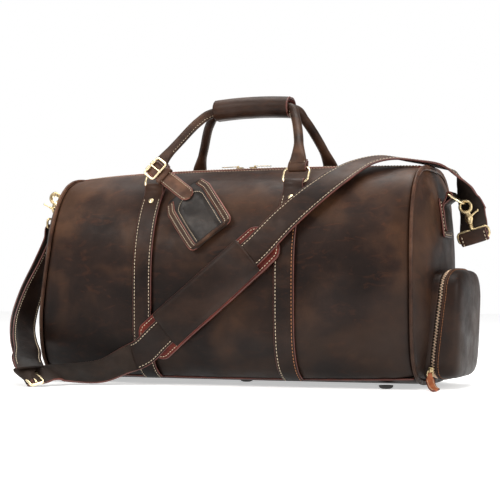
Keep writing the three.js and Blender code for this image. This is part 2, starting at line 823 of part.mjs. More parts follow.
// A solid of the pocket's outline between two distances, each with its own inset.
// Each level is a distance, an inset and how much of the pocket's lean it takes.
function pocketBlock(levels, count = 28) {
  return loft(
    levels.map(([x, inset, share = 1]) =>
      pocketOutline(inset, count).map(([y, z]) => v3(x - share * pocketLean(y, z), y, z)),
    ),
  );
}

// The pocket follows the domed end panel: its lower part and its sides sit further in.
const LEAN = { top: 119, run: 95, foot: 12, side: 7 };

function pocketLean(y, z) {
  const low = Math.min(Math.max((LEAN.top - z) / LEAN.run, 0), 1.12);
  return LEAN.foot * low + LEAN.side * (y / POCKET.halfWidth) ** 2;
}

function pocketPanel() {
  const bulge = endPanelX(0) + 1;
  const [band, zip] = [bulge, POCKET.x + POCKET.seam + 3];
  const outer = pocketBlock([[band - 22, 1.5], [zip, 1]]);
  const inner = pocketBlock([[band - 24, 3.6], [zip + 1, 3.6]]);
  return cut(outer, inner, endBlock());
}

// A solid block that fills the bag up to a small gap outside its right end panel.
function endBlock() {
  const reach = 0.6;
  const pointAt = (r, turn, offset) => endPanelPoint(1, r, turn, offset);
  return dome(pointAt, 4, 40, -60, reach);
}

function pocketCover() {
  const front = POCKET.x + POCKET.depth;
  const start = POCKET.x + POCKET.seam + 9;
  const outer = pocketBlock([
    [start, 0.6],
    [front - 13, 0.4, 0.85],
    [front - 4, 3, 0.5],
    [front, 11, 0.35],
  ]);
  const inner = pocketBlock([
    [start - 1, 3],
    [front - 14, 3, 0.85],
    [front - 5.5, 5.6, 0.5],
    [front - 2.4, 13, 0.35],
  ]);
  return cut(outer, inner);
}

function pocketZip() {
  const from = POCKET.x + POCKET.seam + 3.4;
  const to = POCKET.x + POCKET.seam + 8.6;
  const ring = cut(
    pocketBlock([[from, 1.4], [to, 1.4]]),
    pocketBlock([[from - 1, 3.2], [to + 1, 3.2]]),
  );
  return ring;
}

const POCKET_ZIP_X = POCKET.x + POCKET.seam + 6;
const POCKET_SLIDER_Z = 24;

function pocketSliderPlace() {
  const x = POCKET_ZIP_X - pocketLean(POCKET.halfWidth, POCKET_SLIDER_Z);
  return v3(x, -POCKET.halfWidth - 1, POCKET_SLIDER_Z);
}

function pocketSlider() {
  const box = new THREE.BoxGeometry(8, 3, 10);
  box.rotateY(Math.atan2(LEAN.foot, LEAN.run));
  const { x, y, z } = pocketSliderPlace();
  box.translate(x, y, z);
  return box;
}

function pocketPull() {
  const hinge = pocketSliderPlace().add(v3(0, -3.4, -3));
  const route = [
    [0, 0, 0],
    [1.5, -6, -7],
    [6, -17, -13.2],
    [12, -30, -16.8],
    [20, -45, -18.2],
  ].map(([x, y, z]) => ({ at: hinge.clone().add(v3(x, y, z)), up: v3(0.2, -0.75, 0.6) }));
  return ribbon(route, 11, 2.2, 8);
}

// ---------------------------------------------------------------- luggage tag
// A flat tag hangs by a buckled strap in front of the left front ring and rests on the panel.
const TAG = {
  centre: v3(-26, -107.3, 228.4),
  across: v3(0.77, 0.19, 0.61).normalize(),
  down: v3(0.61, -0.28, -0.74).normalize(),
  halfWidth: 35,
  halfLength: 43,
  thickness: 3.4,
};
const TAG_STRAP = { head: v3(-103, -91, 296), tip: v3(-38, -105, 251), width: 21, thickness: 2.4 };

// Half the bag's depth at a height.
function depthAt(x, level) {
  return Math.abs(skin(1, x, angleAtHeight(x, level)).y);
}

function tagBody() {
  const clear = 4.6;
  const pointAt = (u, v, offset) => {
    const narrow = v < 0.25 ? 0.6 + 1.6 * v : 1;
    const p = TAG.centre
      .clone()
      .addScaledVector(TAG.across, TAG.halfWidth * narrow * (2 * u - 1))
      .addScaledVector(TAG.down, TAG.halfLength * (2 * v - 1));
    p.y = -Math.max(-p.y, depthAt(p.x, p.z) + clear);
    return p.add(v3(0, -offset, 0.3 * offset));
  };
  return sheet(pointAt, 4, 6, 0, TAG.thickness);
}

const tagStrapAlong = () => TAG_STRAP.tip.clone().sub(TAG_STRAP.head).normalize();
const tagStrapOut = () => v3(0, -0.92, 0.39);

// The strap's tongue, and its end turned back behind the buckle.
function tagStrap() {
  const along = tagStrapAlong();
  const out = tagStrapOut();
  const at = (a, b) => TAG_STRAP.head.clone().addScaledVector(along, a).addScaledVector(out, b);
  const length = TAG_STRAP.tip.distanceTo(TAG_STRAP.head);
  const route = [
    { at: at(14, -6.4), up: out.clone().negate() },
    { at: at(3, -6.2), up: out.clone().negate() },
    { at: at(-3, -3), up: along.clone().negate() },
    { at: at(3, 0), up: out },
    { at: at(22, 0.4), up: out },
    { at: at(44, 0.4), up: out },
    { at: at(length, 0), up: out },
  ];
  return ribbon(route, TAG_STRAP.width, TAG_STRAP.thickness, 18);
}

function tagBuckle() {
  const along = tagStrapAlong();
  const out = tagStrapOut().addScaledVector(along, -tagStrapOut().dot(along)).normalize();
  const centre = TAG_STRAP.head.clone().addScaledVector(along, 10).addScaledVector(out, 4);
  return wireLoop(roundedRectangle(centre, along.clone().cross(out), along, 14, 9, 3.5), 1.6, 22);
}

// ---------------------------------------------------------------- shoulder strap
const STRAP_LIFT = 9.8; // the strap's middle above the front panel: the pad's base lies under it

function onFront(x, level, lift = STRAP_LIFT) {
  const angle = angleAtHeight(x, level);
  return { at: skin(-1, x, angle, lift), up: skinNormal(-1, x, angle) };
}

const free = (x, y, z, ux, uy, uz) => ({ at: v3(x, y, z), up: v3(ux, uy, uz).normalize() });

// From the right end's loop over the top corner, down across the front and along the floor.
const OVER_TOP = [
  free(317, 13.8, 227.5, 0.22, 0.96, -0.17),
  free(310, 17, 246, 0.46, 0.84, 0.21),
  free(306, 12, 262, 0.64, 0.56, 0.48),
  free(295, 4, 281.5, 0.69, 0.03, 0.73),
  free(274, -3, 293, 0.3, 0.1, 0.95),
  free(243, -15, 298.5, 0.05, -0.05, 1),
  free(212, -35, 301, 0, -0.25, 1),
];
const DOWN_FRONT = [
  onFront(185, 284),
  onFront(163, 268),
  onFront(132, 243),
  onFront(100, 214),
  onFront(67, 180),
  onFront(41, 158),
  onFront(13, 135),
  onFront(-15, 112),
  onFront(-44, 89),
  onFront(-74, 65),
  onFront(-98, 47, 9.5),
];
const ON_FLOOR = [
  free(-124, -126, 33, 0.15, -0.95, 0.3),
  free(-155, -132, 19, 0.2, -0.8, 0.6),
  free(-185, -143, 16, 0.27, -0.6, 0.75),
  free(-204, -163, 16.5, 0.3, -0.5, 0.82),
  free(-211, -183, 17.3, 0.3, -0.45, 0.85),
];
// The doubled length between the slider and the left hook: one side of its loop, then the other.
const DOUBLE_INNER = [
  free(-223, -206, 25, 0.3, -0.45, 0.85),
  free(-237, -190, 36, 0.35, -0.4, 0.82),
  free(-253, -163, 47, 0.45, -0.35, 0.75),
  free(-275.5, -132, 62, 0.6, -0.3, 0.6),
  free(-295.5, -98, 85, 0.8, -0.2, 0.4),
  free(-305.5, -62, 119, 0.92, -0.1, 0.2),
  free(-307, -27, 158, 1, 0, 0),
  free(-302.5, -5, 194, 1, 0, 0),
];
// Past the loop the strap comes back beside itself, this far outside the inner layer.
const DOUBLE_GAP = 9;
const DOUBLE_OUTER = [
  ...DOUBLE_INNER.slice(2)
    .reverse()
    .map(({ at, up }) => {
      const out = up.clone().normalize().negate();
      return { at: at.clone().addScaledVector(out, DOUBLE_GAP), up: out };
    }),
  free(-246, -178, 35.5, -0.38, 0.39, -0.8),
];

const MAIN_ROUTE = [...OVER_TOP, ...DOWN_FRONT, ...ON_FLOOR];

function shoulderStrap() {
  return ribbon(MAIN_ROUTE, SHOULDER_WIDTH, SHOULDER_LEATHER, 96);
}

// A pad piece on the strap: a rounded strip between two lifts over the front panel.
function padPiece({ length, width }, low, high) {
  const route = DOWN_FRONT.slice(3);
  const curve = new THREE.CatmullRomCurve3(route.map((p) => p.at));
  const ups = new THREE.CatmullRomCurve3(route.map((p) => p.up));
  const total = curve.getLength();
  const middle = total * 0.535;
  const steps = 14;
  const rings = [];
  for (let s = 0; s <= steps; s++) {
    const fraction = (middle + length * (s / steps - 0.5)) / total;
    const t = curve.getUtoTmapping(fraction);
    const at = curve.getPoint(t);
    const tangent = curve.getTangent(t);
    const side = tangent.clone().cross(ups.getPoint(t)).normalize();
    const up = side.clone().cross(tangent).normalize();
    const fromEnd = Math.min(s, steps - s) / steps;
    const half = (width / 2) * Math.min(1, 0.72 + 4 * fromEnd);
    const corner = (a, b) => at.clone().addScaledVector(side, a * half).addScaledVector(up, b);
    rings.push([corner(-1, low), corner(1, low), corner(1, high), corner(-1, high)]);
  }
  return loft(rings);
}

function padBase() {
  const clear = SHOULDER_LEATHER / 2 + SEAM_GAP + 0.2;
  return padPiece(PAD_BASE, -clear - PAD_BASE.thickness, -clear);
}

function padSleeve() {
  const clear = SHOULDER_LEATHER / 2 + SEAM_GAP;
  return padPiece(PAD_SLEEVE, clear, clear + PAD_SLEEVE.thickness);
}

// The strap's end, turned round the bottom bar of the right loop.
function strapEndRight(place) {
  const bar = place.at(45.3);
  const { down, across } = place;
  const back = down.clone().cross(across).normalize();
  if (back.y < 0) back.negate();
  const at = (a, b) => bar.clone().addScaledVector(down, a).addScaledVector(back, b);
  const r = FOLD_RADIUS - 0.6;
  const points = [
    [at(-12, -r), back.clone().negate()],
    [at(-1, -r), back.clone().negate()],
    [at(r * 0.75, -r * 0.75), down.clone().sub(back)],
    [at(r + 0.3, 0), down],
    [at(r * 0.75, r * 0.75), down.clone().add(back)],
    [at(-2, r), back],
    [at(-9, r + 0.9), back],
    [v3(318.8, 7.2, 212), v3(0.05, 0.95, -0.3)],
    [v3(317.2, 11.2, 221), v3(0.2, 0.95, -0.2)],
  ];
  return ribbon(points.map(([p, up]) => ({ at: p, up })), SHOULDER_WIDTH - 1, 2.4, 34);
}

function strapEndLeft(place) {
  const bar = place.at(45.3);
  const r = FOLD_RADIUS + 0.3;
  const turn = [
    free(bar.x + r, bar.y - 0.6, bar.z - 5, 1, 0, 0),
    free(bar.x + r, bar.y, bar.z + 1, 1, 0, 0),
    free(bar.x, bar.y, bar.z + r + 0.8, 0, 0, 1),
    free(bar.x - r, bar.y, bar.z + 1, -1, 0, 0),
    free(bar.x - r - 1, bar.y - 0.6, bar.z - 5, -1, 0, 0),
  ];
  return ribbon([...DOUBLE_INNER, ...turn, ...DOUBLE_OUTER], SHOULDER_WIDTH - 1, 2.4, 100);
}

const SLIDER = {
  centre: v3(-224, -205, 15.6),
  across: v3(0.775, -0.4, -0.48).normalize(),
  along: v3(-0.7, -0.65, -0.1),
};

function strapSlider() {
  const { centre, across } = SLIDER;
  const along = SLIDER.along.clone().addScaledVector(across, -SLIDER.along.dot(across)).normalize();
  return wireLoop(roundedRectangle(centre, across, along, 22.5, 9, 3.5), 1.6, 26);
}

// ---------------------------------------------------------------- assembly
for (const [word, side] of [["front", -1], ["back", 1]]) {
  add(`main_panel_${word}`, mainPanel(side), DARK_LEATHER);
  add(`zip_facing_${word}`, zipFacing(side), RED_LEATHER);
  for (const [place, end] of [["left", -1], ["right", 1]]) {
    add(`handle_strap_${word}_${place}`, handleStrap(side, end), DARK_LEATHER);
    add(`handle_ring_${word}_${place}`, handleRing(side, end), PALE_GOLD);
    add(`rivet_${word}_${place}`, rivet(side, end), PALE_GOLD);
  }
  add(`handle_${word}`, wholeHandle(side), DARK_LEATHER);
}
for (const [place, end] of [["left", -1], ["right", 1]]) {
  add(`end_panel_${place}`, endPanel(end), DARK_LEATHER);
  add(`piping_${place}`, piping(end), DARK_LEATHER);
}
add("base_panel", basePanel(), DARK_LEATHER);
add("base_board", baseBoard(), BOARD);
add("lining", lining(), BLACK_LINING);
add("main_zip_chain", mainZipChain(), ZIP_METAL);
add("grip_wrap", gripWrap(), DARK_LEATHER);
for (const [place, direction] of [["left", -1], ["right", 1]]) {
  const x = direction * SLIDER_X;
  add(`main_zip_slider_${place}`, zipSlider(x, ZIP_TOP, direction), PALE_GOLD);
  add(`main_zip_pull_${place}`, zipPull(x, ZIP_TOP, direction), PALE_GOLD);
}
const FOOT_X = 222;
const FOOT_Y = 72;
add("foot_centre", foot(0, 0), BLACK_LINING);
for (const [word, side] of [["front", -1], ["back", 1]]) {
  for (const [place, end] of [["left", -1], ["right", 1]]) {
    add(`foot_${word}_${place}`, foot(end * FOOT_X, side * FOOT_Y), BLACK_LINING);
  }
}
for (const [place, layout] of [["left", LEFT_END], ["right", RIGHT_END]]) {
  const parts = fittings(layout);
  add(`side_tab_${place}`, sideTab(parts), RED_LEATHER);
  add(`d_ring_${place}`, dRing(parts), PALE_GOLD);
  add(`hook_claw_${place}`, hookClaw(parts), ANTIQUE_BRASS);
  add(`hook_trigger_${place}`, hookTrigger(parts), ANTIQUE_BRASS);
  add(`swivel_loop_${place}`, swivelLoop(parts), ANTIQUE_BRASS);
}
add("shoe_pocket_panel", pocketPanel(), DARK_LEATHER);
add("shoe_pocket_cover", pocketCover(), DARK_LEATHER);
add("shoe_zip_chain", pocketZip(), ZIP_METAL);
add("shoe_zip_slider", pocketSlider(), ZIP_METAL);
add("shoe_zip_pull", pocketPull(), RED_LEATHER);
add("tag_body", tagBody(), DARK_LEATHER);
add("tag_strap", tagStrap(), DARK_LEATHER);
add("tag_buckle", tagBuckle(), PALE_GOLD);
add("shoulder_strap", shoulderStrap(), DARK_LEATHER);
add("strap_end_left", strapEndLeft(fittings(LEFT_END)), DARK_LEATHER);
add("strap_end_right", strapEndRight(fittings(RIGHT_END)), DARK_LEATHER);
add("strap_slider", strapSlider(), PALE_GOLD);
add("pad_base", padBase(), RED_LEATHER);
add("pad_sleeve", padSleeve(), DARK_LEATHER);

export default bag;
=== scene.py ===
import math

import bmesh
import bpy
import numpy as np
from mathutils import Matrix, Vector, noise


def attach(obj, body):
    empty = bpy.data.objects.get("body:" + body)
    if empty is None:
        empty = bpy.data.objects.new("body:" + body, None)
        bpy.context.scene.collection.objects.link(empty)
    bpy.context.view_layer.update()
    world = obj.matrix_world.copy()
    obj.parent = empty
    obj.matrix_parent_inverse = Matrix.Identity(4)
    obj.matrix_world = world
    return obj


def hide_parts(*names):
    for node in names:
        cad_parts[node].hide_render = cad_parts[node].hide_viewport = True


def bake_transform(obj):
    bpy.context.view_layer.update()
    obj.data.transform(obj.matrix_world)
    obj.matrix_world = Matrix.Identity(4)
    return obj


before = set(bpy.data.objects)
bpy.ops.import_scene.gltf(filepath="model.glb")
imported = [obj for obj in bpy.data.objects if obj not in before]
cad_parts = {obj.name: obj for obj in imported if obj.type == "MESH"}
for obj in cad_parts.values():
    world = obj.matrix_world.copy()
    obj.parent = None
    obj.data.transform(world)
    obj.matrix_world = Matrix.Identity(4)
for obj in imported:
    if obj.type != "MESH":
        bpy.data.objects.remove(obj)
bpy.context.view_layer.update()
MM = 0.001

# ---------------------------------------------------------------- dimensions
HALF_LENGTH = 265  # of the body, between its pipings
HALF_DEPTH = 124  # at the middle
HALF_DEPTH_END = 109.5  # at the end panels
WIDEST_HEIGHT = 140
TOP_HEIGHT = 295
TOP_DROP = 6
FOOT_HEIGHT = 5
FOOT_X = 222
FOOT_Y = 72
UPPER_POWER = 2.1
UPPER_POWER_GAIN = 1.2
LOWER_POWER = 4.5
END_BULGE = 21
END_BULGE_POWER = 2.5
PIPING_SHOWN = 2.1
SEAM_X = 261.6
BASE_HALF_WIDTH = 82
FACING_OUTER = 27
STATION = 101  # the handle stations lie this far from the middle
STRAP_WIDTH = 28
RING_FOOT = (81, 269)  # depth and height where a ring leaves its strap
RING_HEAD = (70, 288)  # depth and height where the handle takes it
RING_WIDTH = 35
RING_HEIGHT = 22
WIRE = 1.75  # radius of the rings' wire
RIVET_HEIGHT = 246
FOLD_RADIUS = 3.9  # of leather folded round a wire
ROLL_RADIUS = 6.5  # of a handle where it is rolled
STITCH_INSET = 3.4  # from a strap's edge to its stitches
SHOULDER_WIDTH = 38
STRAP_LIFT = 9.8
SHOULDER_LEATHER = 3  # thickness of the shoulder strap
BARE_LEFT_OF = -112  # there the strap has turned its inner face up
POCKET_HALF = 68
POCKET_LOW = 12
POCKET_HIGH = 154
POCKET_ZIP_X = 299
POCKET_WELT_X = 306.3
POCKET_SLIDER_LEAN = 0.126
MAIN_ZIP_HALF = 248


# ---------------------------------------------------------------- small maths
def v(*xyz):
    return np.array(xyz, float)


def unit(a):
    a = np.asarray(a, float)
    return a / np.maximum(np.linalg.norm(a, axis=-1, keepdims=True), 1e-9)


def smooth(t):
    t = np.clip(t, 0, 1)
    return t * t * (3 - 2 * t)


def wobble(points, scale, seed=0.0):
    """Smooth noise from -1 to 1 at each point; scale is the size of its bumps in mm."""
    flat = np.asarray(points, float).reshape(-1, 3) / scale + seed
    values = [noise.noise(Vector(p)) for p in flat]
    return np.array(values).reshape(np.asarray(points).shape[:-1])


def catmull(points, count, closed=False):
    """A smooth curve through the points, with equal steps of length."""
    p = np.asarray(points, float)
    if closed:
        p = np.vstack([p[-1:], p, p[:2]])
    else:
        p = np.vstack([2 * p[0] - p[1], p, 2 * p[-1] - p[-2]])
    fine = []
    t = np.linspace(0, 1, 24, endpoint=False)[:, None]
    for a, b, c, d in zip(p[:-3], p[1:-2], p[2:-1], p[3:]):
        fine.append(
            0.5
            * (
                2 * b
                + (c - a) * t
                + (2 * a - 5 * b + 4 * c - d) * t**2
                + (3 * b - 3 * c + d - a) * t**3
            )
        )
    fine.append(p[-2][None])
    return resample(np.vstack(fine), count, closed)


def resample(fine, count, closed=False):
    steps = np.linalg.norm(np.diff(fine[:, :3], axis=0), axis=1)
    length = np.concatenate([[0], np.cumsum(steps)])
    at = np.linspace(0, length[-1], count, endpoint=not closed)
    return np.stack([np.interp(at, length, fine[:, k]) for k in range(fine.shape[1])], 1)


def path_length(points):
    return float(np.linalg.norm(np.diff(points, axis=0), axis=1).sum())


def frames(centre, up):
    """Sideways and up directions along a path."""
    tangent = unit(np.gradient(centre, axis=0))
    side = unit(np.cross(tangent, up))
    return side, unit(np.cross(side, tangent))


# ---------------------------------------------------------------- meshes
def make(name, points, faces, materials, body, slot, nodes=(), face_material=None):
    mesh = bpy.data.meshes.new(name)
    mesh.from_pydata((np.asarray(points, float) * MM).tolist(), [], faces)
    for material in materials:
        mesh.materials.append(material)
    if face_material is not None:
        mesh.polygons.foreach_set("material_index", np.asarray(face_material, np.int32))
    mesh.polygons.foreach_set("use_smooth", [True] * len(mesh.polygons))
    work = bmesh.new()
    work.from_mesh(mesh)
    bmesh.ops.recalc_face_normals(work, faces=work.faces)
    work.to_mesh(mesh)
    work.free()
    mesh.update()
    thing = bpy.data.objects.new(name, mesh)
    bpy.context.collection.objects.link(thing)
    return place(thing, body, slot, nodes)


def place(thing, body, slot, nodes=()):
    if body:
        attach(thing, body)
    if nodes:
        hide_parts(*nodes)
    return thing


def grid_faces(rows, columns, wrap=False, first=0):
    last = columns if wrap else columns - 1
    return [
        (
            first + i * columns + j,
            first + i * columns + (j + 1) % columns,
            first + (i + 1) * columns + (j + 1) % columns,
            first + (i + 1) * columns + j,
        )
        for i in range(rows - 1)
        for j in range(last)
    ]


def sheet(name, points, material, body, slot, nodes=()):
    rows, columns = points.shape[:2]
    return make(
        name, points.reshape(-1, 3), grid_faces(rows, columns), [material], body, slot, nodes
    )


class Parts:
    """Gathers the points and faces of many small closed pieces into one mesh."""

    def __init__(self):
        self.points, self.faces, self.materials = [], [], []
        self.count = 0

    def add(self, points, faces, material=0):
        points = np.asarray(points, float).reshape(-1, 3)
        self.points.append(points)
        self.faces += [tuple(k + self.count for k in face) for face in faces]
        if np.ndim(material) == 0:
            material = [material] * len(faces)
        self.materials += list(material)
        self.count += len(points)

    def loft(self, rings, material=0, closed=False, caps=True):
        rings = np.asarray(rings, float)
        rows, columns = rings.shape[:2]
        faces = grid_faces(rows, columns, wrap=True)
        if closed:
            faces += [
                ((rows - 1) * columns + j, (rows - 1) * columns + (j + 1) % columns,
                 (j + 1) % columns, j)
                for j in range(columns)
            ]
        if np.ndim(material) == 1:
            material = list(material) * (len(faces) // columns)
        else:
            material = [material] * len(faces)
        if caps and not closed:
            faces += [tuple(range(columns)), tuple(range(rows * columns - columns, rows * columns))]
            material += [material[0]] * 2
        self.add(rings, faces, material)

    def make(self, name, materials, body, slot, nodes=()):
        return make(
            name, np.vstack(self.points), self.faces, materials, body, slot, nodes, self.materials
        )


def tube_rings(path, radius, sides=12, closed=False, normal=None):
    """Rings of a round wire along a path. A flat loop gives its plane's normal."""
    path = np.asarray(path, float)
    if closed:
        tangent = unit(np.roll(path, -1, 0) - np.roll(path, 1, 0))
    else:
        tangent = unit(np.gradient(path, axis=0))
    if normal is None:
        normals = [unit(np.cross(tangent[0], [0.31, 0.52, 0.79]))]
        for t in tangent[1:]:
            n = normals[-1] - t * np.dot(normals[-1], t)
            normals.append(unit(n))
        a = np.array(normals)
    else:
        a = unit(np.cross(tangent, normal))
    b = unit(np.cross(tangent, a))
    turn = np.linspace(0, 2 * np.pi, sides, endpoint=False)
    radius = np.broadcast_to(radius, (len(path),))
    return (
        path[:, None]
        + a[:, None] * (radius[:, None, None] * np.cos(turn)[None, :, None])
        + b[:, None] * (radius[:, None, None] * np.sin(turn)[None, :, None])
    )


def rounded_loop(centre, a, b, half_a, half_b, corner, per_corner=7):
    """A closed rounded rectangle in the plane of a and b."""
    points = []
    for k, (sa, sb) in enumerate([(1, 1), (-1, 1), (-1, -1), (1, -1)]):
        for s in range(per_corner):
            angle = (k + s / (per_corner - 1)) * np.pi / 2
            points.append(
                centre
                + a * (sa * (half_a - corner) + corner * np.cos(angle))
                + b * (sb * (half_b - corner) + corner * np.sin(angle))
            )
    return np.array(points)


def dome_rings(centre, axis, profile, sides=20):
    """Rings of a turned piece: profile holds pairs of radius and height along the axis."""
    axis = unit(axis)
    a = unit(np.cross(axis, [0.3, 0.5, 0.81]))
    b = np.cross(axis, a)
    turn = np.linspace(0, 2 * np.pi, sides, endpoint=False)
    circle = a * np.cos(turn)[:, None] + b * np.sin(turn)[:, None]
    return np.array([centre + axis * h + circle * r for r, h in profile])


STITCH_SIDES = 6


def stitches(parts, path, out, pitch=4.4, thread=0.5, share=0.66, material=0):
    """A row of short threads that dip into the leather between each other."""
    path = np.asarray(path, float)
    total = path_length(path)
    count = max(2, int(total / pitch))
    both = resample(np.hstack([path, np.broadcast_to(out, path.shape)]), count * 2 + 1)
    centres, outs = both[:, :3], unit(both[:, 3:])
    turn = np.linspace(0, 2 * np.pi, STITCH_SIDES, endpoint=False)
    for k in range(count):
        middle = centres[2 * k + 1]
        along = unit(centres[2 * k + 2] - centres[2 * k])
        up = outs[2 * k + 1]
        side = unit(np.cross(along, up))
        half = pitch * share / 2
        rings = []
        for t, r, h in [(-1, 0.35, -0.35), (-0.7, 0.85, 0.1), (0, 1, 0.3), (0.7, 0.85, 0.1),
                        (1, 0.35, -0.35)]:
            ring_centre = middle + along * (half * t) + up * (h * thread)
            rings.append(
                ring_centre
                + side * (thread * r * np.cos(turn))[:, None]
                + up * (thread * r * np.sin(turn))[:, None]
            )
        parts.loft(rings, material)


def band_section(half, low, high, groove=None, crown=0.3, bevel=0.8):
    """Points (across, up) round a leather band, and 1 for each face that is its cut edge.

    groove is how far the pressed stitch line lies from each side.
    """
    thick = high - low
    bevel = min(bevel, thick * 0.4)
    top = []
    marks = [-1, -0.6, -0.2, 0.2, 0.6, 1]
    inner = half - bevel
    for m in marks:
        top.append((m * inner, high + crown * (1 - m * m)))
    if groove:
        extra = []
        for s in (-1, 1):
            for d, h in ((groove - 1.1, 0), (groove, -0.35), (groove + 1.1, 0)):
                extra.append((s * (half - d), high + h))
        top = sorted(top + extra)
    bottom = [(inner, low), (0, low), (-inner, low)]
    section = top + [(half, high - bevel), (half, low + bevel)] + bottom
    section += [(-half, low + bevel), (-half, high - bevel)]
    count = len(top)
    edge = [0] * len(section)
    for k in range(count - 1, count + 2):
        edge[k] = 1
    for k in range(len(section) - 3, len(section)):
        edge[k] = 1
    return section, edge


def band(parts, centre, up, half, low, high, crown=0.3):
    """A leather band along a path. half is its half width, a number or one for each step."""
    side, lift = frames(centre, up)
    halves = np.broadcast_to(half, (len(centre),))
    rings = []
    edge = None
    for k in range(len(centre)):
        section, edge = band_section(halves[k], low, high, None, crown)
        rings.append([centre[k] + side[k] * a + lift[k] * b for a, b in section])
    parts.loft(rings, edge)
    return side, lift


# ---------------------------------------------------------------- materials
class Shader:
    """A short way to write a node material."""

    def __init__(self, name):
        self.material = bpy.data.materials.new(name)
        self.material.use_nodes = True
        self.tree = self.material.node_tree
        self.tree.nodes.clear()
        self.out = self.tree.nodes.new("ShaderNodeOutputMaterial")
        self.surface = self.tree.nodes.new("ShaderNodeBsdfPrincipled")
        self.link(self.surface.outputs[0], self.out.inputs["Surface"])
        self.place = self.node("ShaderNodeTexCoord").outputs["Object"]

    def node(self, kind, **values):
        made = self.tree.nodes.new(kind)
        for key, value in values.items():
            setattr(made, key, value)
        return made

    def link(self, a, b):
        self.tree.links.new(a, b)

    def scaled(self, scale):
        mapping = self.node("ShaderNodeMapping")
        self.link(self.place, mapping.inputs["Vector"])
        mapping.inputs["Scale"].default_value = scale
        return mapping.outputs[0]

    def noise(self, scale, detail=4, rough=0.5, twist=0.0, place=None):
        made = self.node("ShaderNodeTexNoise")
        self.link(place or self.place, made.inputs["Vector"])
        made.inputs["Scale"].default_value = scale
        made.inputs["Detail"].default_value = detail
        made.inputs["Roughness"].default_value = rough
        made.inputs["Distortion"].default_value = twist
        return made.outputs["Fac"]

    def cells(self, scale):
        made = self.node("ShaderNodeTexVoronoi", feature="DISTANCE_TO_EDGE")
        self.link(self.place, made.inputs["Vector"])
        made.inputs["Scale"].default_value = scale
        return made.outputs["Distance"]

    def ramp(self, value, *stops):
        made = self.node("ShaderNodeValToRGB")
        self.link(value, made.inputs[0])
        ramp = made.color_ramp
        while len(ramp.elements) < len(stops):
            ramp.elements.new(0.5)
        for element, (at, colour) in zip(ramp.elements, stops):
            element.position = at
            element.color = (*colour, 1) if len(colour) == 3 else colour
        return made.outputs[0]

    def span(self, value, low, high, to_low=0.0, to_high=1.0):
        made = self.node("ShaderNodeMapRange")
        self.link(value, made.inputs["Value"])
        for key, number in (
            ("From Min", low), ("From Max", high), ("To Min", to_low), ("To Max", to_high)
        ):
            made.inputs[key].default_value = number
        return made.outputs[0]

    def mix(self, share, a, b, kind="MIX"):
        made = self.node("ShaderNodeMix", data_type="RGBA", blend_type=kind)
        made.clamp_factor = True
        for value, key in ((share, 0), (a, 6), (b, 7)):
            if isinstance(value, (int, float)):
                made.inputs[key].default_value = value
            elif isinstance(value, tuple):
                made.inputs[key].default_value = (*value, 1)
            else:
                self.link(value, made.inputs[key])
        return made.outputs[2]

    def height(self):
        split = self.node("ShaderNodeSeparateXYZ")
        self.link(self.place, split.inputs[0])
        return split.outputs["Z"]

    def bump(self, *layers):
        """Each layer is a value, a strength and a depth in mm."""
        normal = None
        for value, strength, depth in layers:
            made = self.node("ShaderNodeBump")
            made.inputs["Strength"].default_value = strength
            made.inputs["Distance"].default_value = depth * MM
            self.link(value, made.inputs["Height"])
            if normal:
                self.link(normal, made.inputs["Normal"])
            normal = made.outputs[0]
        self.link(normal, self.surface.inputs["Normal"])

    def set(self, **values):
        for key, value in values.items():
            self.surface.inputs[key.replace("_", " ")].default_value = value


def leather(name, dark, middle, light, shine=0.42, patch=7.0, depth=1.0, fade=True, painted_sheen=0.3):
    """Waxed leather: broad cloudy patches, rubbed light marks, fine grain and pores, with grey
    patches as a painted sheen and, where asked, painted shade darker towards the bottom and lighter
    towards the top.
    """
    s = Shader(name)
    broad = s.noise(patch, 3, 0.55, 0.6, s.scaled((1, 1, 1.35)))
    cloudy = s.noise(patch * 3.1, 5, 0.6, 0.4)
    rubbed = s.noise(patch * 9, 4, 0.65, 1.2, s.scaled((0.6, 1, 1.5)))
    colour = s.ramp(broad, (0.38, dark), (0.5, middle), (0.62, light))
    warm = tuple(min(1, c * k) for c, k in zip(light, (1.3, 0.9, 0.7)))
    tint = s.ramp(cloudy, (0.34, tuple(c * 0.6 for c in dark)), (0.52, middle), (0.68, light))
    colour = s.mix(s.span(broad, 0.35, 0.65, 0.15, 0.5), colour, tint)
    colour = s.mix(s.span(rubbed, 0.55, 0.8, 0, 0.45), colour, warm)
    # Painted sheen: soft patches mixed towards grey stand in for the grey sheen of light on the
    # leather.
    painted_sheen_grey = (0.062, 0.047, 0.043)
    colour = s.mix(s.span(s.noise(patch * 0.8, 2, 0.5, 0.3), 0.52, 0.72, 0, painted_sheen), colour, painted_sheen_grey)
    # Painted shade: the colour is multiplied darker towards the bottom and lighter towards the top,
    # as light falling from above makes it.
    if fade:
        low = s.span(s.height(), 0.0, 0.3, 0.25, 1.25)
        painted_shade = s.node("ShaderNodeCombineColor")
        for k in range(3):
            s.link(low, painted_shade.inputs[k])
        colour = s.mix(1.0, colour, painted_shade.outputs[0], "MULTIPLY")
    s.link(colour, s.surface.inputs["Base Color"])
    rough = s.span(s.noise(patch * 5, 4, 0.6), 0.3, 0.7, shine - 0.07, shine + 0.16)
    s.link(rough, s.surface.inputs["Roughness"])
    grain = s.cells(820)
    pores = s.noise(2300, 3, 0.6)
    crease = s.noise(95, 5, 0.62, 1.5)
    s.bump(
        (crease, 0.35, 0.5 * depth), (grain, 0.35, 0.16 * depth), (pores, 0.2, 0.1 * depth)
    )
    s.set(Specular_IOR_Level=0.14)
    return s.material


def edge_paint(name, dark, light, shine=0.38):
    """Painted cut edge of leather, burnished and a little uneven."""
    s = Shader(name)
    value = s.noise(70, 4, 0.6)
    s.link(s.ramp(value, (0.3, dark), (0.7, light)), s.surface.inputs["Base Color"])
    s.link(s.span(value, 0.3, 0.7, shine, shine + 0.15), s.surface.inputs["Roughness"])
    s.bump((s.noise(900, 3, 0.6), 0.3, 0.2))
    s.set(Specular_IOR_Level=0.5)
    return s.material


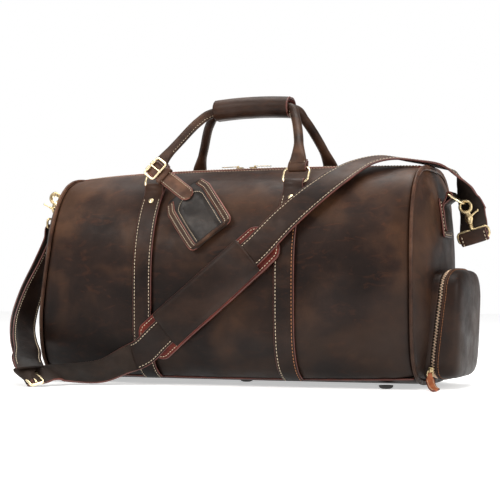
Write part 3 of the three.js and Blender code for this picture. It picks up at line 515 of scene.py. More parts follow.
def thread(name, colour):
    s = Shader(name)
    wave = s.noise(2600, 2, 0.5, 0.4)
    darker = tuple(c * 0.62 for c in colour)
    s.link(s.ramp(wave, (0.35, darker), (0.62, colour)), s.surface.inputs["Base Color"])
    s.bump((wave, 0.5, 0.15))
    s.set(Roughness=0.62, Specular_IOR_Level=0.3)
    return s.material


def metal(name, bright, dull, rough, age):
    """Plated metal with faint scratches; age is how much of the dull tone shows."""
    s = Shader(name)
    mark = s.noise(160, 5, 0.7, 0.8)
    fine = s.noise(1400, 3, 0.7, 0.2, s.scaled((1, 4, 1)))
    share = s.span(mark, 0.45, 0.75, 0, age)
    s.link(s.mix(share, bright, dull), s.surface.inputs["Base Color"])
    s.link(s.span(fine, 0.3, 0.7, rough, rough + 0.14), s.surface.inputs["Roughness"])
    s.bump((fine, 0.12, 0.05))
    s.set(Metallic=1.0)
    return s.material


def cloth(name, dark, light, scale=1500):
    s = Shader(name)
    weave = s.node("ShaderNodeTexWave", wave_type="BANDS", bands_direction="DIAGONAL")
    s.link(s.place, weave.inputs["Vector"])
    weave.inputs["Scale"].default_value = scale / 8
    value = weave.outputs["Fac"]
    s.link(s.ramp(value, (0.2, dark), (0.8, light)), s.surface.inputs["Base Color"])
    s.bump((value, 0.4, 0.25), (s.noise(scale, 2, 0.5), 0.3, 0.1))
    s.set(Roughness=0.85, Specular_IOR_Level=0.2)
    return s.material


def plastic(name, dark, light, rough=0.5):
    s = Shader(name)
    value = s.noise(240, 4, 0.6)
    s.link(s.ramp(value, (0.3, dark), (0.7, light)), s.surface.inputs["Base Color"])
    s.link(s.span(value, 0.3, 0.7, rough, rough + 0.15), s.surface.inputs["Roughness"])
    s.bump((s.noise(1200, 3, 0.6), 0.25, 0.12))
    return s.material


DARK = (0.009, 0.0042, 0.003)
MIDDLE = (0.024, 0.0112, 0.0072)
LIGHT = (0.074, 0.034, 0.017)
BODY_LEATHER = leather("body_leather", DARK, MIDDLE, LIGHT, 0.42, 7.0)
STRAP_SKIN = leather(
    "strap_leather", (0.009, 0.0046, 0.0034), (0.022, 0.0108, 0.007), (0.052, 0.025, 0.015),
    0.4, 11.0,
)
SMALL_SKIN = leather(
    "small_leather", (0.014, 0.007, 0.0046), (0.036, 0.0175, 0.0105), (0.085, 0.041, 0.023),
    0.4, 16.0, fade=False,
)
TAG_SKIN = leather(
    "tag_leather", (0.012, 0.0085, 0.0072), (0.022, 0.016, 0.0135), (0.05, 0.031, 0.022),
    0.33, 14.0, fade=False,
)
INNER_SKIN = leather(
    "strap_inner_leather", (0.0075, 0.0055, 0.0045), (0.0145, 0.0095, 0.0072),
    (0.026, 0.016, 0.0115), 0.6, 12.0, fade=False,
)
RED_SKIN = leather(
    "red_leather", (0.045, 0.006, 0.004), (0.085, 0.0105, 0.0065), (0.15, 0.024, 0.013),
    0.42, 24.0, fade=False, painted_sheen=0.05,
)
ORANGE_SKIN = leather(
    "pull_leather", (0.12, 0.034, 0.014), (0.25, 0.075, 0.03), (0.38, 0.13, 0.055),
    0.42, 30.0, fade=False, painted_sheen=0.0,
)
PIPING_SKIN = leather(
    "piping_leather", (0.03, 0.014, 0.009), (0.065, 0.029, 0.017), (0.12, 0.06, 0.036),
    0.38, 18.0, painted_sheen=0.1,
)
EDGE = edge_paint("edge_red", (0.04, 0.009, 0.0055), (0.12, 0.026, 0.016))
EDGE_PINK = edge_paint("edge_pink", (0.09, 0.022, 0.015), (0.24, 0.075, 0.05))
CREAM = thread("cream_thread", (0.62, 0.5, 0.36))
TAN = thread("tan_thread", (0.42, 0.17, 0.07))
GOLD = metal("pale_gold", (0.86, 0.72, 0.47), (0.45, 0.33, 0.17), 0.16, 0.5)
BRASS = metal("antique_brass", (0.6, 0.47, 0.27), (0.16, 0.115, 0.06), 0.26, 0.85)
ZIP_GOLD = metal("zip_teeth", (0.78, 0.58, 0.42), (0.3, 0.2, 0.12), 0.24, 0.6)
TAPE = cloth("zip_tape", (0.008, 0.0065, 0.0055), (0.022, 0.017, 0.014))
LINING = cloth("lining_cloth", (0.03, 0.026, 0.022), (0.06, 0.052, 0.045))
FOOT = plastic("foot_plastic", (0.006, 0.0055, 0.005), (0.018, 0.016, 0.014))
WINDOW_SKIN = leather(
    "tag_window", (0.014, 0.0115, 0.0105), (0.026, 0.022, 0.02), (0.05, 0.04, 0.034),
    0.3, 20.0, fade=False,
)
TONGUE_SKIN = leather(
    "tongue_leather", (0.045, 0.02, 0.012), (0.085, 0.041, 0.025), (0.15, 0.075, 0.045),
    0.38, 30.0, fade=False, painted_sheen=0.1,
)
BOARD = plastic("board_plastic", (0.02, 0.02, 0.02), (0.045, 0.043, 0.04), 0.7)


# ---------------------------------------------------------------- the bag's skin
def section(x, upper):
    share = (np.asarray(x, float) / HALF_LENGTH) ** 2
    depth = HALF_DEPTH_END + (HALF_DEPTH - HALF_DEPTH_END) * (1 - share)
    height = np.where(upper, TOP_HEIGHT - WIDEST_HEIGHT - TOP_DROP * share,
                      WIDEST_HEIGHT - FOOT_HEIGHT)
    power = np.where(upper, UPPER_POWER + UPPER_POWER_GAIN * np.abs(x / HALF_LENGTH) ** 3,
                     LOWER_POWER)
    return depth, height, power


def skin(side, x, angle, offset=0.0):
    """A point of the skin: angle 0 is the widest line, +90 degrees the top, -90 the bottom."""
    x, angle = np.broadcast_arrays(np.asarray(x, float), np.asarray(angle, float))
    depth, height, power = section(x, angle >= 0)
    across = np.maximum(np.cos(angle), 0)
    rise = np.abs(np.sin(angle))
    reach = ((across / depth) ** power + (rise / height) ** power) ** (-1 / power)
    y, z = reach * across, reach * rise
    ny = (y / depth) ** (power - 1) / depth
    nz = (z / height) ** (power - 1) / height
    size = np.maximum(np.hypot(ny, nz), 1e-12)
    sign = np.where(angle >= 0, 1, -1)
    return np.stack(
        [x, side * (y + ny / size * offset), WIDEST_HEIGHT + sign * (z + nz / size * offset)], -1
    )


def skin_normal(side, x, angle):
    return unit(skin(side, x, angle, 1.0) - skin(side, x, angle))


def angle_at_depth(x, y, sign):
    depth, height, power = section(np.asarray(x, float), sign > 0)
    z = height * (1 - np.minimum(np.abs(y) / depth, 1) ** power) ** (1 / power)
    return sign * np.arctan2(z, np.abs(y))


def angle_at_height(x, level):
    rise = np.asarray(level, float) - WIDEST_HEIGHT
    depth, height, power = section(np.asarray(x, float), rise >= 0)
    y = depth * (1 - np.minimum(np.abs(rise) / height, 1) ** power) ** (1 / power)
    return np.arctan2(rise, y)


def slump(points):
    """The left end leans inward towards its top, as soft leather does."""
    points = np.array(points, float)
    along = np.clip((-points[..., 0] - 90) / 175, 0, 1) ** 2
    high = np.clip((points[..., 2] - 85) / 200, 0, 1)
    points[..., 0] += 21 * along * smooth(high) ** 0.8
    points[..., 2] -= 3.5 * along * smooth((points[..., 2] - 200) / 90)
    return points


def softness(points, side):
    """Shallow hollows and swells of the panels, in mm outward."""
    broad = wobble(points, 120, 3.1 + side) * 2.6
    middle = wobble(points * np.array([1.0, 1.0, 0.55]), 46, 8.4 + side) * 0.9
    return broad + middle


def edge_steps(count, near):
    """Steps from 0 to 1 that are close together at both ends."""
    inner = np.linspace(near[-1], 1 - near[-1], count)
    return np.concatenate([near[:-1], inner, 1 - np.array(near[:-1])[::-1]])


def seam_roll(distance, depth=2.4, width=5.0):
    """How far leather turns in towards a seam, at a distance from it."""
    t = np.clip(distance / width, 0, 1)
    return -depth * (1 - np.sqrt(1 - (1 - t) ** 2))


def main_panel(side, word):
    near = [0, 0.0012, 0.003, 0.006, 0.01]
    u = edge_steps(150, near)
    w = edge_steps(96, [0, 0.0018, 0.0045, 0.009, 0.016])
    x = (SEAM_X * (2 * u - 1))[:, None] * np.ones(len(w))
    low = angle_at_depth(x, BASE_HALF_WIDTH + 0.3, -1)
    high = angle_at_depth(x, FACING_OUTER + 0.3, 1)
    angle = low + (high - low) * w
    base = skin(side, x, angle)
    swell = softness(base, side)
    from_end = SEAM_X - np.abs(x)
    run = np.linalg.norm(np.diff(base, axis=1), axis=2)
    along = np.concatenate([np.zeros((len(u), 1)), np.cumsum(run, 1)], 1)
    total = along[:, -1:]
    fade = smooth(from_end / 40) * smooth(along / 30) * smooth((total - along) / 30)
    press = 0
    for station in (-STATION, STATION):
        press = press - 0.7 * np.exp(-(((np.abs(x - station)) / 17) ** 4))
    offset = (swell - 1.2) * fade + press * smooth(along / 20)
    offset = offset - 2.2 * np.exp(-((from_end / 16) ** 2))
    offset = offset + seam_roll(from_end) + seam_roll(along) + seam_roll(total - along, 1.2)
    points = slump(skin(side, x, angle, offset))
    sheet(f"{word}_panel", points, BODY_LEATHER, "bag", "dark_leather", [f"main_panel_{word}"])


def skin_path(side, x, angle, offset):
    """A path on the skin and the directions away from it."""
    return slump(skin(side, x, angle, offset)), skin_normal(side, x, angle)


def zip_facing(side, word, seams):
    u = edge_steps(120, [0, 0.0012, 0.003, 0.006])
    y = np.array([27, 26.3, 25, 23, 19, 15, 11, 8.5, 7.2, 6.5, 6.2, 6.2])
    lift = np.array([-1.8, -0.2, 0.7, 0.9, 0.9, 0.9, 0.9, 0.8, 0.5, -0.1, -1.0, -2.4])
    x = (SEAM_X * (2 * u - 1))[:, None] * np.ones(len(y))
    offset = lift + seam_roll(SEAM_X - np.abs(x), 2.0)
    points = slump(skin(side, x, angle_at_depth(x, y, 1), offset))
    sheet(f"zip_facing_{word}_leather", points, RED_SKIN, "bag", "red_leather",
          [f"zip_facing_{word}"])
    line = np.linspace(-256, 256, 200)
    for depth_at, lift_at in ((23.2, 1.0), (9.3, 1.0)):
        path, out = skin_path(side, line, angle_at_depth(line, depth_at, 1), lift_at)
        stitches(seams, path, out, 4.2, 0.42)
    path, out = skin_path(side, line, angle_at_depth(line, 31.5, 1), 0.1)
    stitches(seams, path, out, 4.2, 0.42)


# How sharply the left end's lean fades from its rim towards its middle.
LEAN_POWER = 5


def end_turns(count):
    turn = np.arange(count) / count
    angle = np.pi * (2 * turn - 0.5)
    side = np.where(turn < 0.5, 1, -1)
    return side, np.where(turn < 0.5, angle, np.pi - angle)


def end_point(end, fraction, edge, offset):
    """A point of an end panel: fraction 0 is its middle and 1 its edge."""
    x = HALF_LENGTH + END_BULGE * (1 - fraction**END_BULGE_POWER) + offset
    y = edge[..., 1] * fraction
    z = WIDEST_HEIGHT + (edge[..., 2] - WIDEST_HEIGHT) * fraction
    points = np.stack([end * x * np.ones_like(y), y, z], -1)
    if end < 0:
        lean = slump(np.stack([np.full_like(y, -float(HALF_LENGTH)), y, z], -1))
        points[..., 0] += (lean[..., 0] + HALF_LENGTH) * fraction**LEAN_POWER
        points[..., 2] += (lean[..., 2] - z) * fraction**LEAN_POWER
    return points


def end_panel(end, word):
    count = 160
    side, folded = end_turns(count)
    edge = skin(side, np.full(count, float(HALF_LENGTH)), folded, -2.6)
    fractions = np.concatenate([np.linspace(0.02, 0.93, 34), [0.95, 0.97, 0.98, 0.99, 1.0]])
    rings = []
    for f in fractions:
        roll = -3.0 * smooth((f - 0.955) / 0.045)
        ring = end_point(end, f, edge, roll)
        ring[:, 0] += end * wobble(ring, 80, 21.0) * 1.6 * smooth((1 - f) / 0.2)
        rings.append(ring)
    points = np.concatenate(rings)
    faces = grid_faces(len(rings), count, wrap=True)
    faces.append(tuple(range(count)))
    make(f"end_{word}_leather", points, faces, [BODY_LEATHER], "bag", "dark_leather",
         [f"end_panel_{word}"])


def piping(end, word):
    count = 220
    side, folded = end_turns(count)
    centre = skin(side, np.full(count, float(HALF_LENGTH)), folded, -0.6)
    centre[:, 0] *= end
    centre = slump(centre)
    away = unit(centre - v(end * HALF_LENGTH, 0, WIDEST_HEIGHT))
    tangent = unit(np.roll(centre, -1, 0) - np.roll(centre, 1, 0))
    out = unit(np.cross(tangent, np.cross(away, tangent)))
    cross = unit(np.cross(tangent, out))
    turns = np.linspace(0, 2 * np.pi, 16, endpoint=False)
    rings = []
    for k in range(count):
        size = PIPING_SHOWN * (1 + 0.03 * math.sin(k * 1.7))
        ring = [centre[k] + out[k] * size * math.cos(t) + cross[k] * size * 0.92 * math.sin(t)
                for t in turns]
        rings.append(ring)
    cord = Parts()
    cord.loft(rings, closed=True)
    # The tails of the piping's cover run down into the seam.
    for s in (-1, 1):
        strip = []
        for k in range(count):
            foot_point = centre[k] - out[k] * 4.6 + cross[k] * s * 1.5
            strip.append([
                centre[k] + cross[k] * s * 1.9 - out[k] * 0.9,
                centre[k] + cross[k] * s * 1.3 - out[k] * 0.9,
                foot_point - cross[k] * s * 0.6,
                foot_point,
            ])
        cord.loft(strip, closed=True)
    cord.make(f"piping_{word}_cord", [PIPING_SKIN], "bag", "dark_leather", [f"piping_{word}"])


def base():
    u = edge_steps(80, [0, 0.0012, 0.003, 0.006])
    w = edge_steps(40, [0, 0.004, 0.01, 0.02, 0.03]) * 2 - 1
    x = (SEAM_X * (2 * u - 1))[:, None] * np.ones(len(w))
    low = angle_at_depth(x, BASE_HALF_WIDTH - 0.2, -1)
    angle = -np.pi / 2 + (low + np.pi / 2) * np.abs(w)
    roll = seam_roll(SEAM_X - np.abs(x), 2.0) + seam_roll((1 - np.abs(w)) * 82, 2.0, 4)
    front = skin(-1, x, angle, roll)
    back = skin(1, x, angle, roll)
    points = np.where((w < 0)[None, :, None], front, back)
    sheet("base_leather", points, BODY_LEATHER, "bag", "dark_leather", ["base_panel"])
    # A thin welt shows along both lower seams.
    welt = Parts()
    line = np.linspace(-SEAM_X, SEAM_X, 180)
    for side in (-1, 1):
        path = skin(side, line, angle_at_depth(line, BASE_HALF_WIDTH, -1), 0.2)
        path[:, 2] = np.maximum(path[:, 2], FOOT_HEIGHT + 0.8)
        welt.loft(tube_rings(path, 1.3, 8))
    welt.make("base_welts", [EDGE], "bag", "red_leather")


# ---------------------------------------------------------------- zips
def teeth(parts, path, across, up, pitch, reach, tall):
    """Zip teeth along a path, turned to one side and the other in turn."""
    total = path_length(path)
    count = int(total / pitch)
    both = resample(np.hstack([path, across, up]), count)
    for k in range(count):
        centre, side, lift = both[k, :3], unit(both[k, 3:6]), unit(both[k, 6:])
        along = unit(np.cross(side, lift))
        sign = 1 if k % 2 else -1
        middle = centre + side * (0.9 * sign)
        rings = []
        for a, w, h in ((-1, 0.7, 0.7), (-0.75, 1, 1), (0.75, 1, 1), (1, 0.6, 0.7)):
            tip = middle + side * (sign * a * reach * 0.62)
            half = pitch * 0.33 * w
            high = tall * 0.5 * h
            rings.append([
                tip - along * half - lift * high,
                tip + along * half - lift * high,
                tip + along * half + lift * high * 0.6,
                tip + along * half * 0.5 + lift * high,
                tip - along * half * 0.5 + lift * high,
                tip - along * half + lift * high * 0.6,
            ])
        parts.loft(rings)


def main_zip():
    line = np.linspace(-MAIN_ZIP_HALF, MAIN_ZIP_HALF, 160)
    tape_y = np.array([-14, -7, -3.2, -3.0, 3.0, 3.2, 7, 14])
    tape_lift = np.array([-3.4, -2.6, -1.9, -1.6, -1.6, -1.9, -2.6, -3.4])
    x = line[:, None] * np.ones(len(tape_y))
    base_line = skin(1, x, angle_at_depth(x, np.abs(tape_y), 1))
    points = np.stack([x, np.broadcast_to(tape_y, x.shape), base_line[..., 2] + tape_lift], -1)
    points = slump(points)
    sheet("main_zip_tape", points, TAPE, "bag", "zip_metal", ["main_zip_chain"])
    path = slump(np.stack([line, 0 * line, skin(1, line, np.pi / 2)[:, 2] - 0.6], 1))
    row = Parts()
    flat = np.zeros((len(line), 3))
    teeth(row, path, flat + v(0, 1, 0), flat + v(0, 0, 1), 2.6, 2.6, 1.8)
    row.make("main_zip_teeth", [ZIP_GOLD], "bag", "zip_metal")


def rounded_block(parts, centre, a, b, c, half):
    """A small block with rounded corners, between -half and +half along a, b and c."""
    rings = []
    bevel = 0.8
    ha, hb, hc = half
    for t, shrink in ((-1, bevel), (-1 + bevel / hc, 0), (1 - bevel / hc, 0), (1, bevel)):
        loop = rounded_loop(centre + c * hc * t, a, b, ha - shrink, hb - shrink,
                            min(ha, hb) * 0.35, 4)
        rings.append(loop)
    parts.loft(rings)


def main_slider(direction, word):
    x = 10 * direction
    z = TOP_HEIGHT + 0.5
    ahead, aside, upward = v(1, 0, 0), v(0, 1, 0), v(0, 0, 1)
    body = Parts()
    rounded_block(body, v(x, 0, z + 2.3), ahead, aside, upward, (5.4, 3.9, 0.7))
    rounded_block(body, v(x, 0, z + 0.9), ahead, aside, upward, (4.4, 2.6, 0.5))
    bar = v(x + direction * 2.8, 0, z + 3.2)
    body.loft(tube_rings(rounded_loop(bar, aside, upward, 2.4, 1.2, 0.8, 5), 0.55, 10, True, ahead),
              closed=True)
    body.make(f"top_slider_{word}", [GOLD], f"zip_slider_{word}", "pale_gold",
              [f"main_zip_slider_{word}"])
    pull = Parts()
    head = v(x + direction * 2.8, 0, z + 4.1)
    outline = []
    for t in np.linspace(0, 1, 14):
        half = 2.6 + 1.6 * smooth((t - 0.1) / 0.7) - 2.6 * max(0, t - 0.86) / 0.14 * 0.5
        at = head + ahead * direction * (1.5 + 22.3 * t) - upward * 0.6 * t
        thick = 0.4
        outline.append([
            at + aside * half * a + upward * thick * b
            for a, b in (
                (-1, -0.5), (-0.86, -1), (0.86, -1), (1, -0.5),
                (1, 0.5), (0.86, 1), (-0.86, 1), (-1, 0.5),
            )
        ])
    pull.loft(outline)
    eye = dome_rings(head - aside * 1.6, aside, [(0.7, 0), (1.2, 0), (1.2, 3.2), (0.7, 3.2)], 16)
    pull.loft(eye, closed=True)
    pull.make(f"top_pull_{word}", [GOLD], f"zip_pull_{word}", "pale_gold",
              [f"main_zip_pull_{word}"])


# ---------------------------------------------------------------- handle straps and rings
def strap_angles(x, steps=70):
    low = angle_at_depth(x, BASE_HALF_WIDTH + 3, -1)
    high = angle_at_height(x, 258.5)
    return np.linspace(low, high, steps)


def fold_route(side, x):
    along = unit(v(0, side * (RING_HEAD[0] - RING_FOOT[0]), RING_HEAD[1] - RING_FOOT[1]))
    outward = v(0, side * along[2], -side * along[1])
    bar = v(x, side * RING_FOOT[0], RING_FOOT[1])
    return bar, along, outward


def handle_strap(side, end, word, place_word, seams):
    x0 = end * STATION
    angles = strap_angles(x0)
    half = STRAP_WIDTH / 2
    out = skin_normal(side, x0, angles)
    strap = Parts()
    # The strap bends with the panel, so its section is laid on the skin itself.
    profile, edge = band_section(half, 0.7, 3.2, STITCH_INSET, 0.0)
    rings = []
    for angle in angles:
        rings.append([skin(side, x0 + a, angle, b) for a, b in profile])
    strap.loft(rings, edge)
    bar, along, outward = fold_route(side, x0)
    top = skin(side, x0, angle_at_height(x0, 255.0), 2.2)
    r = FOLD_RADIUS
    fold = [
        top,
        bar - along * 4 - outward * r,
        bar + along * 1.5 - outward * r * 0.85,
        bar + along * r * 0.98,
        bar + along * 1.5 + outward * r * 0.85,
        bar - along * 4 + outward * r,
        skin(side, x0, angle_at_height(x0, 257.5), 4.4),
        skin(side, x0, angle_at_height(x0, 251.0), 2.7),
        skin(side, x0, angle_at_height(x0, 243.0), 1.5),
    ]
    path = catmull(fold, 44)
    tangent = unit(np.gradient(path, axis=0))
    lift = unit(np.cross(tangent, v(1, 0, 0)))
    flip = np.sign(np.dot(lift[22], along)) or 1
    lift = lift * flip
    rings = []
    for k in range(len(path)):
        shape, edge = band_section(half - 0.4, -1.2, 1.2, None, 0.25)
        rings.append([path[k] + v(1, 0, 0) * a + lift[k] * b for a, b in shape])
    strap.loft(rings, edge)
    material = [STRAP_SKIN, EDGE]
    strap.make(f"handle_strap_{word}_{place_word}_leather", material, "bag", "dark_leather",
               [f"handle_strap_{word}_{place_word}"])
    inset = half - 3.2
    for s in (-1, 1):
        row = skin(side, x0 + s * inset, angles[:-3], 3.3)
        kind = 1 if (s > 0 and end > 0) else 0
        stitches(seams, row, out[:-3], 4.6, 0.52, material=kind)
    across = x0 + np.linspace(-inset, inset, 12)
    level = np.full(12, float(angle_at_height(x0, 252.5)))
    cross_row = skin(side, across, level, 3.4)
    stitches(seams, cross_row, skin_normal(side, across, level), 4.2, 0.5)


def handle_ring(side, end, word, place_word):
    foot, along = fold_route(side, end * STATION)[:2]
    centre = foot + along * RING_HEIGHT / 2
    loop = rounded_loop(centre, v(1, 0, 0), along, RING_WIDTH / 2, RING_HEIGHT / 2, 6, 9)
    ring = Parts()
    ring.loft(tube_rings(loop, WIRE, 16, True, np.cross([1, 0, 0], along)), closed=True)
    ring.make(f"handle_loop_{word}_{place_word}", [GOLD], f"ring_{word}_{place_word}",
              "pale_gold", [f"handle_ring_{word}_{place_word}"])


def rivet(side, end, word, place_word):
    x = end * STATION
    angle = float(angle_at_height(x, RIVET_HEIGHT))
    out = skin_normal(side, x, angle)
    centre = skin(side, x, angle, 3.5)
    head = Parts()
    profile = [(0.1, 0), (3.9, 0), (4.0, 0.5), (3.6, 1.1), (2.8, 1.35), (2.4, 1.2), (2.1, 1.5),
               (1.2, 1.95), (0.1, 2.1)]
    head.loft(dome_rings(centre, out, profile, 28))
    head.make(f"rivet_cap_{word}_{place_word}", [GOLD], "bag", "pale_gold",
              [f"rivet_{word}_{place_word}"])


# ---------------------------------------------------------------- handles
GRIP_MIDDLE = 11
GRIP_HEIGHT = 379
GRIP_HALF = 55
GRIP_WRAP_RADII = (18.9, 15.2)
GRIP_LEATHER = 2.3
LEG_HALF = STRAP_WIDTH / 2 - 1.2


def handle_points(side):
    top_y, top_z = side * RING_HEAD[0], RING_HEAD[1]
    right = [
        v(STATION, top_y, top_z + 5),
        v(STATION - 1, side * 64, 306),
        v(STATION - 8, side * 44, 332),
        v(STATION - 21, side * 20, 362),
        v(GRIP_MIDDLE + GRIP_HALF, side * 8.6, GRIP_HEIGHT - 1),
    ]
    left = [
        v(-STATION, top_y, top_z + 5),
        v(-STATION + 2, side * 64, 306),
        v(-STATION + 17, side * 44, 332),
        v(-STATION + 36, side * 20, 362),
        v(GRIP_MIDDLE - GRIP_HALF, side * 8.6, GRIP_HEIGHT - 3),
    ]
    return left + [v(GRIP_MIDDLE, side * 7.6, GRIP_HEIGHT)] + right[::-1]


def handle(side, word, seams):
    steps = 190
    path = catmull(handle_points(side), steps)
    tangent = unit(np.gradient(path, axis=0))
    x_axis = v(1, 0, 0)
    slope = unit(v(0, -side * 0.48, 0.88))
    flat_side = unit(x_axis - tangent * tangent[:, :1])
    arch_side = unit(np.cross(np.cross(tangent, slope), tangent))
    level = smooth((np.abs(tangent[:, 0]) - 0.45) / 0.4)[:, None]
    sign = np.where(path[:, :1] < GRIP_MIDDLE, -1, 1)
    wide_way = unit(flat_side * sign * (1 - level) + arch_side * level)
    thin_way = unit(np.cross(tangent, wide_way))
    length = path_length(path)
    step = length / (steps - 1)
    from_end = np.minimum(np.arange(steps), steps - 1 - np.arange(steps)) * step
    flat = np.clip(1 - from_end / 36, 0, 1) ** 1.3
    wide = ROLL_RADIUS + flat * (LEG_HALF - ROLL_RADIUS)
    thin = ROLL_RADIUS - flat * (ROLL_RADIUS - 2.9)
    turn = np.linspace(0, 2 * np.pi, 28, endpoint=False)
    rings = []
    for k in range(steps):
        power = 1 + 0.7 * flat[k]
        c = np.sign(np.cos(turn)) * np.abs(np.cos(turn)) ** (1 / power)
        s = np.sign(np.sin(turn)) * np.abs(np.sin(turn)) ** (1 / power)
        # The rolled leather meets in a shallow groove on the inner side.
        groove = 1 - 0.1 * np.exp(-(((turn - np.pi) / 0.16) ** 2)) * (1 - flat[k])
        rings.append(
            path[k]
            + wide_way[k] * (wide[k] * c * groove)[:, None]
            + thin_way[k] * (thin[k] * s * groove)[:, None]
        )
    roll = Parts()
    roll.loft(rings)
    for end in (-1, 1):
        bar, along, outward = fold_route(side, end * STATION)
        bar = bar + along * RING_HEIGHT
        r = FOLD_RADIUS
        fold = [bar + along * 12 - outward * 1.4, bar + along * 5 - outward * r,
                bar - along * 1.8 - outward * r * 0.9, bar - along * r,
                bar - along * 1.8 + outward * r * 0.9, bar + along * 5 + outward * r,
                bar + along * 12 + outward * 1.4]
        line = catmull(fold, 26)
        t = unit(np.gradient(line, axis=0))
        lift = unit(np.cross(t, x_axis))
        lift = lift * (-1 if np.dot(lift[13], along) > 0 else 1)
        rings = []
        for k in range(len(line)):
            shape, edge = band_section(LEG_HALF, -1.1, 1.1, None, 0.2)
            rings.append([line[k] + x_axis * a + lift[k] * b for a, b in shape])
        roll.loft(rings, edge)
        # Two short rows of stitches hold the fold.
        for s in (-1, 1):
            a = bar + along * 5 + outward * (r + 1.3) + x_axis * s * (LEG_HALF - 2.6)
            b = bar + along * 24 + outward * 5.2 + x_axis * s * 6.2
            row = np.linspace(a, b, 8)
            stitches(seams, row, np.broadcast_to(outward, row.shape), 4.2, 0.45)
    # The seam that closes the roll runs along the groove.
    keep = from_end > 30
    seam_at = path - wide_way * (wide * 0.93)[:, None] + thin_way * 1.9
    legs = [np.where(keep & (path[:, 0] < GRIP_MIDDLE - GRIP_HALF))[0],
            np.where(keep & (path[:, 0] > GRIP_MIDDLE + GRIP_HALF))[0]]
    for leg in legs:
        if len(leg) > 3:
            stitches(seams, seam_at[leg], -wide_way[leg], 4.4, 0.42)
    body = f"{word}_handle"
    roll.make(f"rolled_handle_{word}", [SMALL_SKIN, EDGE], body, "dark_leather",
              [f"handle_{word}"])


def grip_wrap(seams):
    steps = 46
    around = 72
    gap = 0.32
    turn = np.linspace(gap, 2 * np.pi - gap, around)
    rings = []
    for u in np.linspace(0, 1, steps):
        x = GRIP_MIDDLE + 2 * GRIP_HALF * (u - 0.5)
        arch = -2.5 * (2 * u - 1) ** 2
        y = GRIP_WRAP_RADII[0] * np.cos(turn)
        z = GRIP_HEIGHT + 2.4 + arch + GRIP_WRAP_RADII[1] * np.sin(turn)
        # The leather sinks a little between the two rolls under it.
        z = z - 1.3 * np.exp(-((y / 5.5) ** 2)) * np.sign(np.sin(turn))
        ring = np.stack([np.full(around, x), y, z], 1)
        ring[:, 1] += wobble(ring, 22, 4.0) * 0.5
        rings.append(ring)
    rings = np.array(rings)
    outward = unit(rings - v(0, 0, GRIP_HEIGHT) - rings * v(1, 0, 0))
    shell = []
    for k in range(steps):
        outer = rings[k] + outward[k] * 0.4
        inner = rings[k] - outward[k] * (GRIP_LEATHER - 0.4)
        loop = np.concatenate([outer, inner[::-1]])
        shell.append(loop)
    wrap = Parts()
    kinds = [0] * (around - 1) + [1] + [2] * (around - 1) + [1]
    wrap.loft(shell, kinds)
    rim = rings[-1] - outward[-1] * 0.7
    wrap.loft(tube_rings(rim, 1.35, 10), 1)
    wrap.make("grip_wrap_leather", [STRAP_SKIN, EDGE, RED_SKIN], "front_handle", "dark_leather",
              ["grip_wrap"])
    for j in (2, around - 3):
        stitches(seams, rings[3:-3, j] + outward[3:-3, j] * 0.5, outward[3:-3, j], 4.2, 0.46)


# ---------------------------------------------------------------- shoulder strap
def on_front(x, level, lift=STRAP_LIFT):
    angle = float(angle_at_height(x, level))
    return (*skin(-1, x, angle, lift), *skin_normal(-1, x, angle))


def free(x, y, z, ux, uy, uz):
    return (x, y, z, *unit(v(ux, uy, uz)))


OVER_TOP = [
    free(317, 13.8, 227.5, 0.22, 0.96, -0.17),
    free(310, 17, 246, 0.46, 0.84, 0.21),
    free(306, 12, 262, 0.64, 0.56, 0.48),
    free(297, 4, 279.5, 0.69, 0.03, 0.73),
    free(275, -3, 291, 0.3, 0.1, 0.95),
    free(243, -15, 297.5, 0.05, -0.05, 1),
    free(212, -35, 301, 0, -0.25, 1),
]
DOWN_FRONT = [
    on_front(185, 284),
    on_front(163, 268),
    on_front(132, 243),
    on_front(100, 214),
    on_front(67, 180),
    on_front(41, 158),
    on_front(13, 135),
    on_front(-15, 112),
    on_front(-44, 89),
    on_front(-74, 65),
    on_front(-98, 47, 9.5),
]
ON_FLOOR = [
    free(-124, -126, 33, 0.15, -0.95, 0.3),
    free(-155, -132, 19, 0.2, -0.8, 0.6),
    free(-185, -143, 16, 0.27, -0.6, 0.75),
    free(-204, -163, 16.5, 0.3, -0.5, 0.82),
    free(-211, -183, 17.3, 0.3, -0.45, 0.85),
]
# The strap runs through the slide's frame, over its middle bar.
THROUGH_SLIDE = [
    free(-217, -197.5, 14.2, 0.3, -0.45, 0.85),
    free(-224.5, -205.5, 19.2, 0.3, -0.45, 0.85),
    free(-231.5, -212.5, 14.2, 0.05, -0.75, 0.6),
    free(-230.5, -209, 11.8, -0.3, 0.45, -0.85),
    free(-225.5, -203.5, 12.2, -0.3, 0.45, -0.85),
]
DOUBLE_INNER = [
    free(-223, -206, 25, 0.3, -0.45, 0.85),
    free(-237, -190, 36, 0.35, -0.4, 0.82),
    free(-253, -163, 47, 0.45, -0.35, 0.75),
    free(-275.5, -132, 62, 0.6, -0.3, 0.6),
    free(-295.5, -98, 85, 0.8, -0.2, 0.4),
    free(-305.5, -62, 119, 0.92, -0.1, 0.2),
    free(-307, -27, 158, 1, 0, 0),
    free(-302.5, -5, 194, 1, 0, 0),
]
DOUBLE_GAP = 9


def beside(place_of):
    """The same place in the outer layer, facing the other way."""
    at, up = np.array(place_of[:3]), unit(np.array(place_of[3:]))
    return (*(at - up * DOUBLE_GAP), *(-up))


DOUBLE_OUTER = [beside(p) for p in DOUBLE_INNER[2:][::-1]]
DOUBLE_OUTER += [free(-246, -180, 35.5, -0.38, 0.39, -0.8),
                 free(-231, -198, 26.5, -0.35, 0.42, -0.85)]


